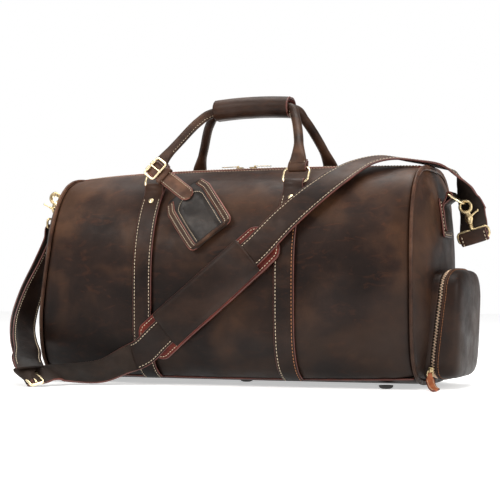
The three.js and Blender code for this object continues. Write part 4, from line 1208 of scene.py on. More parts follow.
def strap_band(name, route, steps, width, thickness, body, nodes, seams, ends=(4, 4),
               rows_both_sides=False, bare_left_of=None):
    """A strap along a route, with a row of stitches near each edge of its outer face.

    Left of bare_left_of the strap shows its inner leather and no stitches.
    """
    line = catmull(np.array(route), steps)
    centre, up = line[:, :3], unit(line[:, 3:])
    half = width / 2
    strap = Parts()
    section_points, edge = band_section(
        half, -thickness / 2, thickness / 2, STITCH_INSET, 0.35
    )
    side, lift = frames(centre, up)
    kinds = []
    for k, e in enumerate(edge):
        a = section_points[k][1]
        b = section_points[(k + 1) % len(edge)][1]
        kinds.append(1 if e else (0 if (a + b) / 2 > 0 else 2))
    rings = [[centre[k] + side[k] * a + lift[k] * b for a, b in section_points]
             for k in range(steps)]
    turn_over = steps - 1
    stop = steps - ends[1]
    if bare_left_of is not None:
        turn_over = int(np.argmax(centre[:, 0] < bare_left_of))
        stop = turn_over
        strap.loft(rings[turn_over:], [2 if kind == 0 else kind for kind in kinds])
    strap.loft(rings[:turn_over + 1], kinds)
    made = strap.make(name, [STRAP_SKIN, EDGE, INNER_SKIN], body, "dark_leather", nodes)
    inside = slice(ends[0], stop)
    for s in (-1, 1):
        row = centre + side * (s * (half - STITCH_INSET)) + lift * (thickness / 2 - 0.1)
        stitches(seams, row[inside], lift[inside], 4.6, 0.5)
        if rows_both_sides:
            row = centre + side * (s * (half - STITCH_INSET)) - lift * (thickness / 2 - 0.1)
            stitches(seams, row[inside], -lift[inside], 4.6, 0.5)
    return made


PAD_BASE = (238, 58, 4)
PAD_SLEEVE = (156, 55, 5)
PAD_BASE_GAP = 0.6


def pad_line(length, count):
    """The pad's middle line on the front panel, with its own up directions."""
    line = catmull(np.array(DOWN_FRONT[3:]), 400)
    total = path_length(line[:, :3])
    middle = total * 0.535
    at = np.linspace(middle - length / 2, middle + length / 2, count)
    run = np.concatenate([[0], np.cumsum(np.linalg.norm(np.diff(line[:, :3], axis=0), axis=1))])
    out = np.stack([np.interp(at, run, line[:, k]) for k in range(6)], 1)
    return out[:, :3], unit(out[:, 3:])


def rounded_ends(count, length, radius, half):
    """Half widths of a strip whose ends are round."""
    d = np.minimum(np.linspace(0, length, count), np.linspace(length, 0, count))
    t = np.clip(d / radius, 0, 1)
    return half * np.maximum(0.04, 1 - (1 - np.sqrt(1 - (1 - t) ** 2)))


def pad_base(seams):
    length, width, thick = PAD_BASE
    count = 150
    centre, up = pad_line(length, count)
    side, lift = frames(centre, up)
    halves = rounded_ends(count, length, 20, width / 2)
    low = -(SHOULDER_LEATHER / 2 + PAD_BASE_GAP + thick)
    rings = []
    edge = None
    for k in range(count):
        shape, edge = band_section(halves[k], low, low + thick, None, 0.5, 1.2)
        rings.append([centre[k] + side[k] * a + lift[k] * b for a, b in shape])
    pad = Parts()
    pad.loft(rings, edge)
    pad.make("shoulder_pad_base", [RED_SKIN, EDGE], "bag", "red_leather", ["pad_base"])
    inset = rounded_ends(count, length - 7, 17, width / 2 - 4)
    inner, inner_up = pad_line(length - 7, count)
    inner_side, inner_lift = frames(inner, inner_up)
    top = low + thick + 0.35
    one = inner + inner_side * inset[:, None] + inner_lift * top
    two = inner - inner_side * inset[:, None] + inner_lift * top
    loop = np.concatenate([one, two[::-1], one[:1]])
    loop_up = np.concatenate([inner_lift, inner_lift[::-1], inner_lift[:1]])
    stitches(seams, loop, loop_up, 4.4, 0.48)


def swell(thing, steps=18, cap=2.2):
    """Blows a closed pad up as cloth, keeps each point near its start and applies it."""
    start = np.array([p.co for p in thing.data.vertices])
    bpy.context.view_layer.objects.active = thing
    cloth_settings = thing.modifiers.new("fill", "CLOTH")
    cloth_settings.settings.use_pressure = True
    cloth_settings.settings.uniform_pressure_force = 4
    cloth_settings.settings.mass = 0.4
    cloth_settings.settings.tension_stiffness = 25
    cloth_settings.settings.compression_stiffness = 25
    cloth_settings.settings.effector_weights.gravity = 0
    pins = thing.vertex_groups.new(name="sewn")
    held = thing.data.attributes["sewn_at"].data
    index = [k for k in range(len(start)) if held[k].value > 0.5]
    pins.add(index, 1.0, "REPLACE")
    cloth_settings.settings.vertex_group_mass = "sewn"
    for f in range(1, steps + 1):
        bpy.context.scene.frame_set(f)
    dg = bpy.context.evaluated_depsgraph_get()
    done = thing.evaluated_get(dg).to_mesh()
    end = np.array([p.co for p in done.vertices])
    thing.evaluated_get(dg).to_mesh_clear()
    thing.modifiers.remove(cloth_settings)
    bpy.context.scene.frame_set(1)
    move = end - start
    size = np.linalg.norm(move, axis=1, keepdims=True)
    move = move * np.minimum(1, cap * MM / np.maximum(size, 1e-9))
    thing.data.vertices.foreach_set("co", (start + move).ravel())
    thing.data.update()


def pad_sleeve(seams):
    length, width, thick = PAD_SLEEVE
    count, across = 64, 22
    centre, up = pad_line(length, count)
    side, lift = frames(centre, up)
    half = width / 2
    low = SHOULDER_LEATHER / 2 + 0.2
    t = np.linspace(-1, 1, across)
    rings = []
    held = []
    for k in range(count):
        d = min(k, count - 1 - k) / (count - 1) * length
        full = math.sqrt(max(0.0, 1 - (1 - min(1, d / 7)) ** 2))
        flat_edge = np.clip((half - np.abs(t) * half) / 5.5, 0, 1)
        top = low + 1.2 + (thick - 2.0) * smooth(flat_edge) * (0.3 + 0.7 * full)
        upper = centre[k] + side[k] * (t * half)[:, None] + lift[k] * top[:, None]
        lower = centre[k] + side[k] * (t[::-1] * half)[:, None] + lift[k] * low
        rings.append(np.concatenate([upper, lower]))
        sewn = (np.abs(t) * half > half - 6) | (d < 3)
        held += [1.0 if s else 0.0 for s in sewn] + [1.0] * across
    sleeve = Parts()
    kinds = [0] * (across - 1) + [1] + [2] * (across - 1) + [1]
    sleeve.loft(rings, kinds)
    pad = sleeve.make("shoulder_pad_sleeve", [STRAP_SKIN, EDGE, INNER_SKIN], None,
                      "dark_leather")
    mark = pad.data.attributes.new("sewn_at", "FLOAT", "POINT")
    mark.data.foreach_set("value", held)
    swell(pad)
    pad.data.attributes.remove(pad.data.attributes["sewn_at"])
    smoother = pad.modifiers.new("round", "SUBSURF")
    smoother.levels = smoother.render_levels = 1
    place(pad, "bag", "dark_leather", ["pad_sleeve"])
    for s in (-1, 1):
        row = centre + side * (s * (half - STITCH_INSET)) + lift * (low + 1.95)
        stitches(seams, row[1:-1], lift[1:-1], 4.4, 0.5)
    return pad


# ---------------------------------------------------------------- end fittings
RIGHT = dict(end=1, bar=v(291, 0, 251), ring_tilt=-0.58, hook_tilt=0.28,
             across=v(0.961, 0, 0.276))
LEFT = dict(end=-1, bar=v(-291, 0, 251), ring_tilt=0.86, hook_tilt=0.02, across=v(0, 1, 0))
D_HALF = 17
D_REACH = 21
EYE = 7.5
HOOK_RIVET = 16
TAB_LOW = 196
TAB_HIGH = 247.5
LOOP_BAR = 45.3


def fitting_places(end, bar, ring_tilt, hook_tilt, across):
    out = v(end * math.cos(ring_tilt), 0, math.sin(ring_tilt))
    tip = bar + out * D_REACH
    down = v(end * math.sin(hook_tilt), 0, -math.cos(hook_tilt))
    eye = tip + down * (EYE - WIRE * 2 - 0.3)
    across = unit(across - down * np.dot(across, down))
    return out, down, eye, across


def end_surface(end, y, z, offset):
    """A point on an end panel, from its place across and up."""
    y, z = np.broadcast_arrays(np.asarray(y, float), np.asarray(z, float))
    rise = z - WIDEST_HEIGHT
    edge = skin(1, np.full(y.shape, float(HALF_LENGTH)), np.arctan2(rise, np.abs(y)), -5.7)
    reach = np.hypot(edge[..., 1], edge[..., 2] - WIDEST_HEIGHT)
    fraction = np.minimum(1, np.hypot(y, rise) / reach)
    x = HALF_LENGTH + END_BULGE * (1 - fraction**END_BULGE_POWER) + offset
    points = np.stack([end * x, y, z], -1)
    if end < 0:
        lean = slump(np.stack([np.full(y.shape, -float(HALF_LENGTH)), y, z], -1))
        points[..., 0] += (lean[..., 0] + HALF_LENGTH) * fraction**LEAN_POWER
    return points


def side_tab(end, bar, word, seams):
    """The leather plate on an end panel, with a folded strip that holds the D-ring."""
    rows = 30
    z = np.linspace(TAB_LOW, TAB_HIGH, rows)
    rise = (z - TAB_LOW) / 50
    half = 22 - 6 * np.clip(rise, 0, 1) ** 3
    corner = np.minimum(z - TAB_LOW, TAB_HIGH - z)
    half = half - 4.5 * (1 - np.sqrt(1 - (1 - np.clip(corner / 5, 0, 1)) ** 2))
    plate = Parts()
    rings = []
    for k in range(rows):
        shape, edge = band_section(half[k], 0.6, 3.2, None, 0.0, 0.9)
        rings.append([end_surface(end, a, z[k], b) for a, b in shape])
    plate.loft(rings, edge)
    r = FOLD_RADIUS
    x0 = abs(bar[0])

    def surface(level, offset):
        return end_surface(end, 0, level, offset)

    def at(a, b):
        return v(end * (x0 + a), 0, bar[2] + b)

    route = [surface(236, 2.6), at(-r, -3.5), at(-r * 0.75, 2.6), at(0, r), at(r * 0.75, 2.6),
             at(r, -3.5), surface(238, 6.2), surface(226, 5.0), surface(204, 4.6)]
    path = catmull(route, 60)
    tangent = unit(np.gradient(path, axis=0))
    lift = unit(np.cross(tangent, v(0, 1, 0)))
    lift = lift * (1 if lift[24][2] > 0 else -1)
    rings = []
    for k in range(len(path)):
        width = 15 + 3 * smooth((k - 32) / 14)
        width *= 1 if k < 54 else 1 - 0.28 * ((k - 54) / 5) ** 2
        shape, edge = band_section(width, -1.15, 1.15, None, 0.25)
        rings.append([path[k] + v(0, a, 0) + lift[k] * b for a, b in shape])
    plate.loft(rings, [1 if e else 2 for e in edge])
    plate.make(f"side_tab_{word}_leather", [SMALL_SKIN, EDGE, INNER_SKIN], "bag",
               "red_leather", [f"side_tab_{word}"])
    for s in (-1, 1):
        row = end_surface(end, s * (half[2:-2] - 3.0), z[2:-2], 3.35)
        stitches(seams, row, np.broadcast_to(v(end, 0, 0), row.shape), 4.2, 0.46)
        row = path[38:56] + v(0, s * 14.6, 0) + lift[38:56] * 1.4
        stitches(seams, row, lift[38:56], 4.0, 0.46)
    row = end_surface(end, np.linspace(-16, 16, 10), TAB_LOW + 3.3, 3.35)
    stitches(seams, row, np.broadcast_to(v(end, 0, 0), row.shape), 4.2, 0.46)


def d_ring(bar, out, word):
    """The D-shaped ring: a straight bar in the tab and a round bow."""
    across = v(0, 1, 0)
    points = [bar - across * D_HALF, bar - across * 8, bar + across * 8, bar + across * D_HALF]
    for k in range(1, 10):
        angle = math.pi * k / 10
        points.append(bar + out * D_REACH * math.sin(angle) ** 0.7
                      + across * D_HALF * math.cos(angle))
    loop = catmull(points, 90, closed=True)
    ring = Parts()
    ring.loft(tube_rings(loop, WIRE, 16, True, np.cross(out, across)), closed=True)
    ring.make(f"d_ring_{word}_wire", [GOLD], f"end_ring_{word}", "pale_gold",
              [f"d_ring_{word}"])


def hook(down, eye, word):
    """The snap hook's claw with its riveted barrel."""
    wide = v(-down[2], 0, down[0])
    y = v(0, 1, 0)
    claw = Parts()
    angles = np.linspace(0, 2 * np.pi, 40, endpoint=False)
    loop = eye + wide * (EYE * np.cos(angles))[:, None] + down * (EYE * np.sin(angles))[:, None]
    thick = 2.1 + 0.4 * np.clip(np.sin(angles), -0.6, 1)
    claw.loft(tube_rings(loop, thick, 14, True, y), closed=True)
    stations = [(EYE - 1.4, 3.4, 2.0), (EYE + 0.6, 4.0, 2.3), (11, 4.3, 2.4), (13.4, 5.2, 2.6),
                (16, 5.7, 2.7), (18.6, 5.2, 2.7), (20.8, 4.1, 2.6), (22.6, 3.5, 2.6),
                (24.3, 3.1, 2.5)]
    turn = np.linspace(0, 2 * np.pi, 20, endpoint=False)
    rings = [eye + down * reach + wide * (a * np.cos(turn))[:, None]
             + y * (b * np.sin(turn))[:, None] for reach, a, b in stations]
    claw.loft(rings)
    rivet_place = eye + down * HOOK_RIVET
    for s in (-1, 1):
        claw.loft(dome_rings(rivet_place + y * s * 2.4, y * s,
                             [(3.1, 0), (3.1, 0.5), (2.2, 0.7), (1.8, 1.0), (0.9, 1.35),
                              (0.05, 1.4)], 20), 1)
    claw.make(f"snap_hook_{word}", [BRASS, GOLD], f"hook_{word}", "antique_brass",
              [f"hook_claw_{word}"])


def trigger(end, down, eye, word):
    wide = v(-down[2], 0, down[0]) * end
    y = v(0, 1, 0)
    pivot = eye + down * HOOK_RIVET
    stations = [(-1.5, 0.5, 2.2, 1.0), (1, 0, 2.5, 1.1), (5, -1.4, 1.7, 1.1), (9, -3.4, 1.2, 1.1),
                (12, -4.9, 1.1, 1.1), (14.4, -5.9, 1.3, 1.2), (15.6, -6.4, 1.7, 1.4),
                (16.4, -6.8, 0.9, 0.8)]
    turn = np.linspace(0, 2 * np.pi, 16, endpoint=False)
    rings = []
    for a, b, r, t in stations:
        middle = pivot + wide * a + down * b - y * 4.6
        rings.append(middle + down * (r * np.cos(turn))[:, None]
                     + y * (t * np.sin(turn))[:, None])
    lever = Parts()
    lever.loft(rings)
    lever.make(f"snap_lever_{word}", [BRASS], f"trigger_{word}", "antique_brass",
               [f"hook_trigger_{word}"])


def swivel(down, eye, across, word):
    """The strap's loop and its collared post; it turns with the D-ring."""
    half_reach = 6.8
    centre = eye + down * (LOOP_BAR - half_reach)
    loop = rounded_loop(centre, across, down, 21, half_reach, 5, 8)
    ring = Parts()
    ring.loft(tube_rings(loop, 1.7, 14, True, np.cross(across, down)), closed=True)
    post = [(2.9, 24.8), (3.3, 25.3), (3.3, 26.2), (2.3, 26.6), (2.3, 27.4), (3.2, 27.8),
            (3.2, 28.6), (2.3, 29.0), (2.3, 29.8), (3.3, 30.3), (3.3, 31.3), (2.4, 32.2)]
    ring.loft(dome_rings(eye, down, post, 20))
    ring.make(f"swivel_{word}_loop", [BRASS], f"end_ring_{word}", "antique_brass",
              [f"swivel_loop_{word}"])


def strap_end(name, route, steps, ends, word, both=False):
    """The end of the shoulder strap, folded round its loop and laid from where the end ring is
    placed.
    """
    row = Parts()
    made = strap_band(name, route, steps, SHOULDER_WIDTH - 1, 2.4, None, [f"strap_end_{word}"],
                      row, ends, both)
    sewn = row.make(f"{name}_stitches", [CREAM, TAN], None, "dark_leather")
    for thing in (made, sewn):
        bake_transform(thing)


def strap_end_right(down, eye, across):
    bar = eye + down * LOOP_BAR
    back = unit(np.cross(down, across))
    back = back if back[1] > 0 else -back
    r = 3.3

    def at(a, b, up):
        return (*(bar + down * a + back * b), *unit(up))

    route = [
        at(-12, -r, -back),
        at(-1, -r, -back),
        at(r * 0.75, -r * 0.75, down - back),
        at(r + 0.3, 0, down),
        at(r * 0.75, r * 0.75, down + back),
        at(-2, r, back),
        at(-9, r + 0.9, back),
        free(318.8, 7.2, 212, 0.05, 0.95, -0.3),
        free(317.2, 11.2, 221, 0.2, 0.95, -0.2),
        free(315.9, 14.7, 231.5, 0.28, 0.94, -0.1),
    ]
    strap_end("strap_tail_right", route, 76, (4, 4), "right")


def strap_end_left(down, eye):
    bar = eye + down * LOOP_BAR
    r = 4.2
    turn = [
        free(bar[0] + r, bar[1] - 0.6, bar[2] - 5, 1, 0, 0),
        free(bar[0] + r, bar[1], bar[2] + 1, 1, 0, 0),
        free(bar[0], bar[1], bar[2] + r + 0.8, 0, 0, 1),
        free(bar[0] - r, bar[1], bar[2] + 1, -1, 0, 0),
        free(bar[0] - r - 1, bar[1] - 0.6, bar[2] - 5, -1, 0, 0),
    ]
    # Only the inner layer, the first part of the route, shows its stitches.
    strap_end("strap_tail_left", DOUBLE_INNER + turn + DOUBLE_OUTER, 260, (4, 150), "left",
              True)


SLIDER = dict(centre=v(-224, -205, 15.6), across=unit(v(0.775, -0.4, -0.48)),
              along=unit(v(-0.7, -0.65, -0.1)))


def strap_slider():
    centre, across = SLIDER["centre"], SLIDER["across"]
    along = unit(SLIDER["along"] - across * np.dot(SLIDER["along"], across))
    frame_loop = rounded_loop(centre, across, along, 22.5, 9, 3.5, 7)
    slider = Parts()
    slider.loft(tube_rings(frame_loop, 1.7, 14, True, np.cross(across, along)), closed=True)
    bar = np.linspace(centre - across * 21.5, centre + across * 21.5, 8)
    slider.loft(tube_rings(bar, 1.5, 12))
    slider.make("strap_slide_bar", [GOLD], "bag", "pale_gold", ["strap_slider"])


# ---------------------------------------------------------------- luggage tag
TAG_CENTRE = v(-26, -107.3, 228.4)
TAG_ACROSS = unit(v(0.77, 0.19, 0.61))
TAG_DOWN = unit(v(0.61, -0.28, -0.74))
TAG_HALF = (35, 43)
TAG_CLEAR = 4.6


def tag_at(across, down, lift):
    across, down, lift = np.broadcast_arrays(*[np.asarray(k, float) for k in
                                               (across, down, lift)])
    p = TAG_CENTRE + across[..., None] * TAG_ACROSS + down[..., None] * TAG_DOWN
    panel = skin(1, p[..., 0], angle_at_height(p[..., 0], p[..., 2]))[..., 1]
    y = -np.maximum(-p[..., 1], panel + TAG_CLEAR)
    return np.stack([p[..., 0], y - lift, p[..., 2] + 0.3 * lift], -1)


def tag_half_width(down):
    """The tag narrows to rounded shoulders at the top and has round lower corners."""
    t = (down + TAG_HALF[1]) / (2 * TAG_HALF[1])
    half = TAG_HALF[0] * np.minimum(1, 0.82 + 0.9 * t)
    low = np.clip((TAG_HALF[1] - down) / 9, 0, 1)
    top = np.clip((down + TAG_HALF[1]) / 5, 0, 1)
    return half - 9 * (1 - np.sqrt(1 - (1 - low) ** 2)) - 4 * (1 - np.sqrt(1 - (1 - top) ** 2))


def tag_layer(parts, rows, half, low, high, materials, middle=0.0, crown=0.2):
    rings = []
    for down, width, centre in zip(rows, np.broadcast_to(half, rows.shape),
                                   np.broadcast_to(middle, rows.shape)):
        shape, edge = band_section(max(width, 0.8), low, high, None, crown, 0.7)
        a = np.array([p[0] for p in shape]) + centre
        b = np.array([p[1] for p in shape])
        rings.append(tag_at(a, down, b))
    parts.loft(rings, [materials[e] for e in edge])


def luggage_tag():
    tag = Parts()
    seams = Parts()
    rows = np.linspace(-TAG_HALF[1], TAG_HALF[1], 60)
    half = tag_half_width(rows)
    tag_layer(tag, rows, half, 0, 2.2, (0, 1))
    # A raised border runs down both long sides; the name window sits between them.
    for s in (-1, 1):
        keep = rows[3:-2]
        width = tag_half_width(keep)
        tag_layer(tag, keep, 5.4, 2.0, 3.7, (3, 1), s * (width - 5.8), 0.4)
        for gap in (3.0, 8.4):
            row = tag_at(s * (width[1:-1] - gap), keep[1:-1], 3.95)
            stitches(seams, row, np.broadcast_to(v(0, -1, 0.3), row.shape), 3.1, 0.46)
    window_half = 21.5
    window_rows = np.linspace(-33, 38, 50)
    arch = np.clip((window_rows + 33) / 16, 0, 1)
    tag_layer(tag, window_rows, window_half * np.sqrt(1 - (1 - arch) ** 2) + 0.4, 1.9, 2.9,
              (2, 2), 0.0, 0.5)
    t = np.linspace(0, np.pi, 40)
    top = np.stack([-20 * np.cos(t), -18 - 14 * np.sin(t)], 1)
    outline = np.vstack([[-20, 36], [-20, 10], top, [20, 10], [20, 36]])
    outline = resample(np.hstack([outline, np.zeros((len(outline), 1))]), 90)
    row = tag_at(outline[:, 0], outline[:, 1], 3.25)
    stitches(seams, row, np.broadcast_to(v(0, -1, 0.3), row.shape), 3.0, 0.42)
    # The lower edge is folded over in a round roll.
    roll = tag_at(np.linspace(-25, 25, 24), 40.3, 3.0)
    tag.loft(tube_rings(roll, 2.5, 14), 3)
    tag.make("tag_leather", [TAG_SKIN, EDGE_PINK, WINDOW_SKIN, SMALL_SKIN], "luggage_tag",
             "dark_leather", ["tag_body"])
    stitched("tag_stitches", seams, "luggage_tag")


def tag_strap():
    head, tip = v(-103, -91, 296), v(-38, -105, 251)
    along = unit(tip - head)
    out = unit(v(0, -0.92, 0.39))
    out = unit(out - along * np.dot(out, along))
    across = np.cross(along, out)
    length = float(np.linalg.norm(tip - head))

    def at(a, b, up):
        return (*(head + along * a + out * b), *up)

    route = [at(14, -6.4, -out), at(3, -6.2, -out), at(-3, -3, -along), at(3, 0, out),
             at(22, 0.4, out), at(44, 0.4, out), at(length, 0, out)]
    steps = 90
    line = catmull(np.array(route), steps)
    centre, up = line[:, :3], unit(line[:, 3:])
    to_tip = np.linspace(path_length(centre), 0, steps)
    half = 10.5 * np.sqrt(1 - (1 - np.clip(to_tip / 11 + 0.02, 0, 1)) ** 2)
    strap, seams = Parts(), Parts()
    side, lift = band(strap, centre, up, np.maximum(half, 0.8), -1.2, 1.2, 0.3)
    keeper = rounded_loop(head + along * 27 + out * 0.8, across, out, 12.3, 3.1, 2.4, 6)
    rings = []
    for p in keeper:
        outward = unit(p - (head + along * 27 + out * 0.8))
        rings.append([p - along * 3.6, p - along * 3.2 + outward * 0.9,
                      p + along * 3.2 + outward * 0.9, p + along * 3.6,
                      p + along * 3.2 - outward * 0.9, p - along * 3.2 - outward * 0.9])
    strap.loft(rings, closed=True)
    strap.make("tag_strap_leather", [TONGUE_SKIN, EDGE_PINK], "tag_loop", "dark_leather",
               ["tag_strap"])
    shown = slice(34, steps - 4)
    for s in (-1, 1):
        row = centre + side * (s * (half - 2.6))[:, None] + lift * 1.3
        stitches(seams, row[shown], lift[shown], 3.6, 0.42)
    stitched("tag_strap_stitches", seams, "tag_loop")
    place_at = head + along * 10 + out * 4
    buckle = Parts()
    loop = rounded_loop(place_at, across, along, 14, 9, 3.5, 7)
    buckle.loft(tube_rings(loop, 1.6, 14, True, out), closed=True)
    for s in (-1, 1):
        middle = place_at - along * 9 + across * s * 4.6
        buckle.loft(tube_rings(np.linspace(middle - across * 4, middle + across * 4, 5), 2.5, 18))
    prong = [place_at - along * 8.4 + out * 2.4, place_at + out * 1.9,
             place_at + along * 8 + out * 2.2, place_at + along * 11.5 + out * 1.2]
    buckle.loft(tube_rings(catmull(prong, 16), 1.0, 10))
    buckle.make("tag_buckle_frame", [GOLD], "tag_loop", "pale_gold", ["tag_buckle"])


# ---------------------------------------------------------------- shoe pocket
POCKET_POWER_HIGH = 4.2
POCKET_POWER_LOW = 6


def pocket_outline(inset, count=160):
    turn = np.linspace(0, 2 * np.pi, count, endpoint=False)
    middle = (POCKET_LOW + POCKET_HIGH) / 2
    half_height = (POCKET_HIGH - POCKET_LOW) / 2
    c, s = np.cos(turn), np.sin(turn)
    power = np.where(s < 0, POCKET_POWER_LOW, POCKET_POWER_HIGH)
    reach = (np.abs(c / (POCKET_HALF - inset)) ** power
             + np.abs(s / (half_height - inset)) ** power) ** (-1 / power)
    return np.stack([reach * c, middle + reach * s], 1)


def pocket_lean(y, z):
    """The pocket follows the domed end panel: its lower part and sides sit further in."""
    low = np.clip((119 - z) / 95, 0, 1.12)
    return 12 * low + 7 * (y / POCKET_HALF) ** 2


def pocket_ring(x, inset, soft=0.0, share=1.0):
    outline = pocket_outline(inset)
    y, z = outline[:, 0], outline[:, 1]
    ring = np.stack([x - share * pocket_lean(y, z), y, z], 1)
    if soft:
        middle = v(x, 0, (POCKET_LOW + POCKET_HIGH) / 2)
        ring += unit(ring - middle) * (wobble(ring, 34, 5.0) * soft)[:, None]
    return ring


def pocket_path(x, inset):
    ring = pocket_ring(x, inset)
    ring = np.vstack([ring, ring[:1]])
    tangent = unit(np.gradient(ring, axis=0))
    out = unit(np.cross(tangent, v(1, 0, 0)))
    from_middle = ring - v(x, 0, (POCKET_LOW + POCKET_HIGH) / 2)
    return ring, out * np.sign(np.sum(out * from_middle, 1, keepdims=True))


def shoe_pocket():
    seams = Parts()
    band_profile = [(262, 4), (262, 1.5), (266, 1.3), (272, 1.0), (280, 0.8), (288, 0.7),
                    (292, 0.8), (294.4, 0.9), (295.5, 1.3), (296.1, 2.2), (295.6, 3.2),
                    (291, 3.6), (280, 3.8), (266, 4.2)]
    side_band = Parts()
    side_band.loft([pocket_ring(x, i, 0.35) for x, i in band_profile], closed=True)
    side_band.make("pocket_band_leather", [BODY_LEATHER], "bag", "dark_leather",
                   ["shoe_pocket_panel"])
    cover = Parts()
    rings = []
    for x, i, share in [
        (302.2, 16, 1), (302.2, 3.2, 1), (302.0, 1.8, 1), (302.5, 0.9, 1), (303.4, 0.5, 0.98),
        (305.5, 0.4, 0.9), (308.5, 0.6, 0.78), (311.5, 1.2, 0.66), (314, 2.2, 0.56),
        (316, 3.8, 0.5), (317.3, 6.2, 0.45), (318.2, 9.5, 0.4), (318.8, 14, 0.37),
        (319.1, 20, 0.35), (319.3, 28, 0.34), (319.4, 38, 0.33), (319.5, 50, 0.33),
        (319.5, 60, 0.33), (319.5, 67, 0.33),
    ]:
        rings.append(pocket_ring(x, i, 0.5 if i < 60 else 0.1, share))
    cover.loft(rings)
    # A narrow welt edges the cover beside the zip.
    cover.loft(tube_rings(pocket_ring(303.6, -0.1), 1.3, 10, True), 1, closed=True)
    cover.make("pocket_cover_leather", [BODY_LEATHER, PIPING_SKIN], "bag", "dark_leather",
               ["shoe_pocket_cover"])
    path, out = pocket_path(POCKET_WELT_X, 0.2)
    stitches(seams, path, out, 3.6, 0.34, material=1)
    stitched("pocket_stitches", seams, "bag")
    tape = Parts()
    tape_rings = [pocket_ring(x, i) for x, i in
                  [(295.8, 2.4), (297.4, 1.8), (300.6, 1.8), (302.2, 2.4), (302.2, 3.6),
                   (295.8, 3.6)]]
    tape.loft(tape_rings, closed=True)
    tape.make("shoe_zip_tape", [TAPE], "bag", "zip_metal", ["shoe_zip_chain"])
    row = Parts()
    path, out = pocket_path(POCKET_ZIP_X, 1.3)
    teeth(row, path, np.broadcast_to(v(1, 0, 0), path.shape), out, 1.9, 2.4, 1.9)
    row.make("shoe_zip_teeth", [ZIP_GOLD], "bag", "zip_metal")


def shoe_zip_slider():
    z = 24
    x = POCKET_ZIP_X - float(pocket_lean(POCKET_HALF, z))
    place_at = v(x, -POCKET_HALF - 0.6, z)
    lean = POCKET_SLIDER_LEAN
    outward, aside, upward = unit(v(1, 0, -lean)), v(0, 1, 0), unit(v(lean, 0, 1))
    slider = Parts()
    rounded_block(slider, place_at - aside * 0.9, upward, outward, aside, (4.6, 3.6, 0.8))
    rounded_block(slider, place_at + aside * 0.4, upward, outward, aside, (3.6, 2.4, 0.6))
    bridge = [
        place_at + upward * a - aside * b
        for a, b in ((3, 1.4), (1, 3.2), (-3, 3.2), (-4, 1.4))
    ]
    slider.loft(tube_rings(catmull(bridge, 16), 0.9, 10))
    slider.make("shoe_slider_body", [BRASS], "shoe_slider", "antique_brass",
                ["shoe_zip_slider"])
    hinge = v(x, -POCKET_HALF - 4.4, z - 3)
    route = [(0, 0, 0), (1.5, -6, -7), (6, -17, -13.2), (12, -30, -16.8), (20, -45, -18.2)]
    steps = 60
    centre = catmull([hinge + v(*p) for p in route], steps)
    up = np.broadcast_to(unit(v(0.2, -0.75, 0.6)), centre.shape)
    length = path_length(centre)
    from_tip = np.linspace(length, 0, steps)
    half = 5.5 * np.sqrt(1 - (1 - np.clip(from_tip / 5.5 + 0.05, 0, 1)) ** 2)
    half = half * np.clip(0.5 + (length - from_tip) / 22, 0, 1)
    pull, seams = Parts(), Parts()
    side, lift = band(pull, centre, up, np.maximum(half, 0.8), -1.1, 1.1, 0.4)
    down = unit(np.gradient(centre, axis=0))[0]
    loop = rounded_loop(hinge + down * 1.5, side[0], down, 3.6, 4.4, 1.8, 6)
    pull.loft(tube_rings(loop, 0.9, 10, True, lift[0]), 2, closed=True)
    pull.make("shoe_pull_leather", [ORANGE_SKIN, EDGE, BRASS], "shoe_pull", "red_leather",
              ["shoe_zip_pull"])
    for s in (-1, 1):
        row = centre + side * (s * (half - 1.9))[:, None] + lift * 1.35
        stitches(seams, row[12:-4], lift[12:-4], 3.2, 0.36)
    stitched("shoe_pull_stitches", seams, "shoe_pull", "red_leather")


# ---------------------------------------------------------------- feet, lining and board
def feet():
    places = [("centre", 0, 0)]
    for fore, y in (("front", -FOOT_Y), ("back", FOOT_Y)):
        for aside, x in (("left", -FOOT_X), ("right", FOOT_X)):
            places.append((f"{fore}_{aside}", x, y))
    profile = [(0.1, 4.6), (9.3, 4.6), (9.5, 4.2), (9.2, 3.2), (8.3, 1.7), (6.8, 0.7),
               (5.0, 0.2), (3.0, 0.02), (0.1, 0.0)]
    for name, x, y in places:
        foot = Parts()
        foot.loft(dome_rings(v(x, y, 0), v(0, 0, 1), profile, 32))
        foot.make(f"{name}_foot", [FOOT], "bag", "foot_plastic", [f"foot_{name}"])


def lining():
    """The cloth bag inside, with its own end walls."""
    stations = np.linspace(-256, 256, 60)
    turns = np.linspace(0, 1, 40)
    rings = []
    for x in stations:
        top = angle_at_depth(x, 12, 1)
        angle = top + (-np.pi / 2 - top) * turns
        loop = []
        for offset in (-6.6, -7.4):
            front = skin(-1, x, angle, offset)
            back = skin(1, x, angle, offset)[::-1]
            line = np.concatenate([front, back[1:]])
            loop.append(line if offset == -6.6 else line[::-1])
        rings.append(slump(np.concatenate(loop)))
    rings = np.array(rings)
    inner = Parts()
    inner.loft(rings, caps=False)
    half = rings.shape[1] // 2
    for k in (0, -1):
        rim = rings[k][:half]
        middle = rim.mean(0)
        faces = [(half, j, j + 1) for j in range(half - 1)] + [(half, half - 1, 0)]
        inner.add(np.vstack([rim, middle]), faces)
    inner.make("lining_bag", [LINING], "bag", "lining", ["lining"])


def repaint_carried(name, material):
    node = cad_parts[name]
    node.data.materials.clear()
    node.data.materials.append(material)


# ---------------------------------------------------------------- light and camera
def area_light(name, place_at, size, power, colour, aim=(0, 0, 0.16)):
    data = bpy.data.lights.new(name, "AREA")
    data.shape = "RECTANGLE"
    data.size, data.size_y = size
    data.energy = power
    data.color = colour
    lamp = bpy.data.objects.new(name, data)
    bpy.context.collection.objects.link(lamp)
    lamp.location = place_at
    lamp.rotation_euler = (Vector(aim) - Vector(place_at)).to_track_quat("-Z", "Y").to_euler()


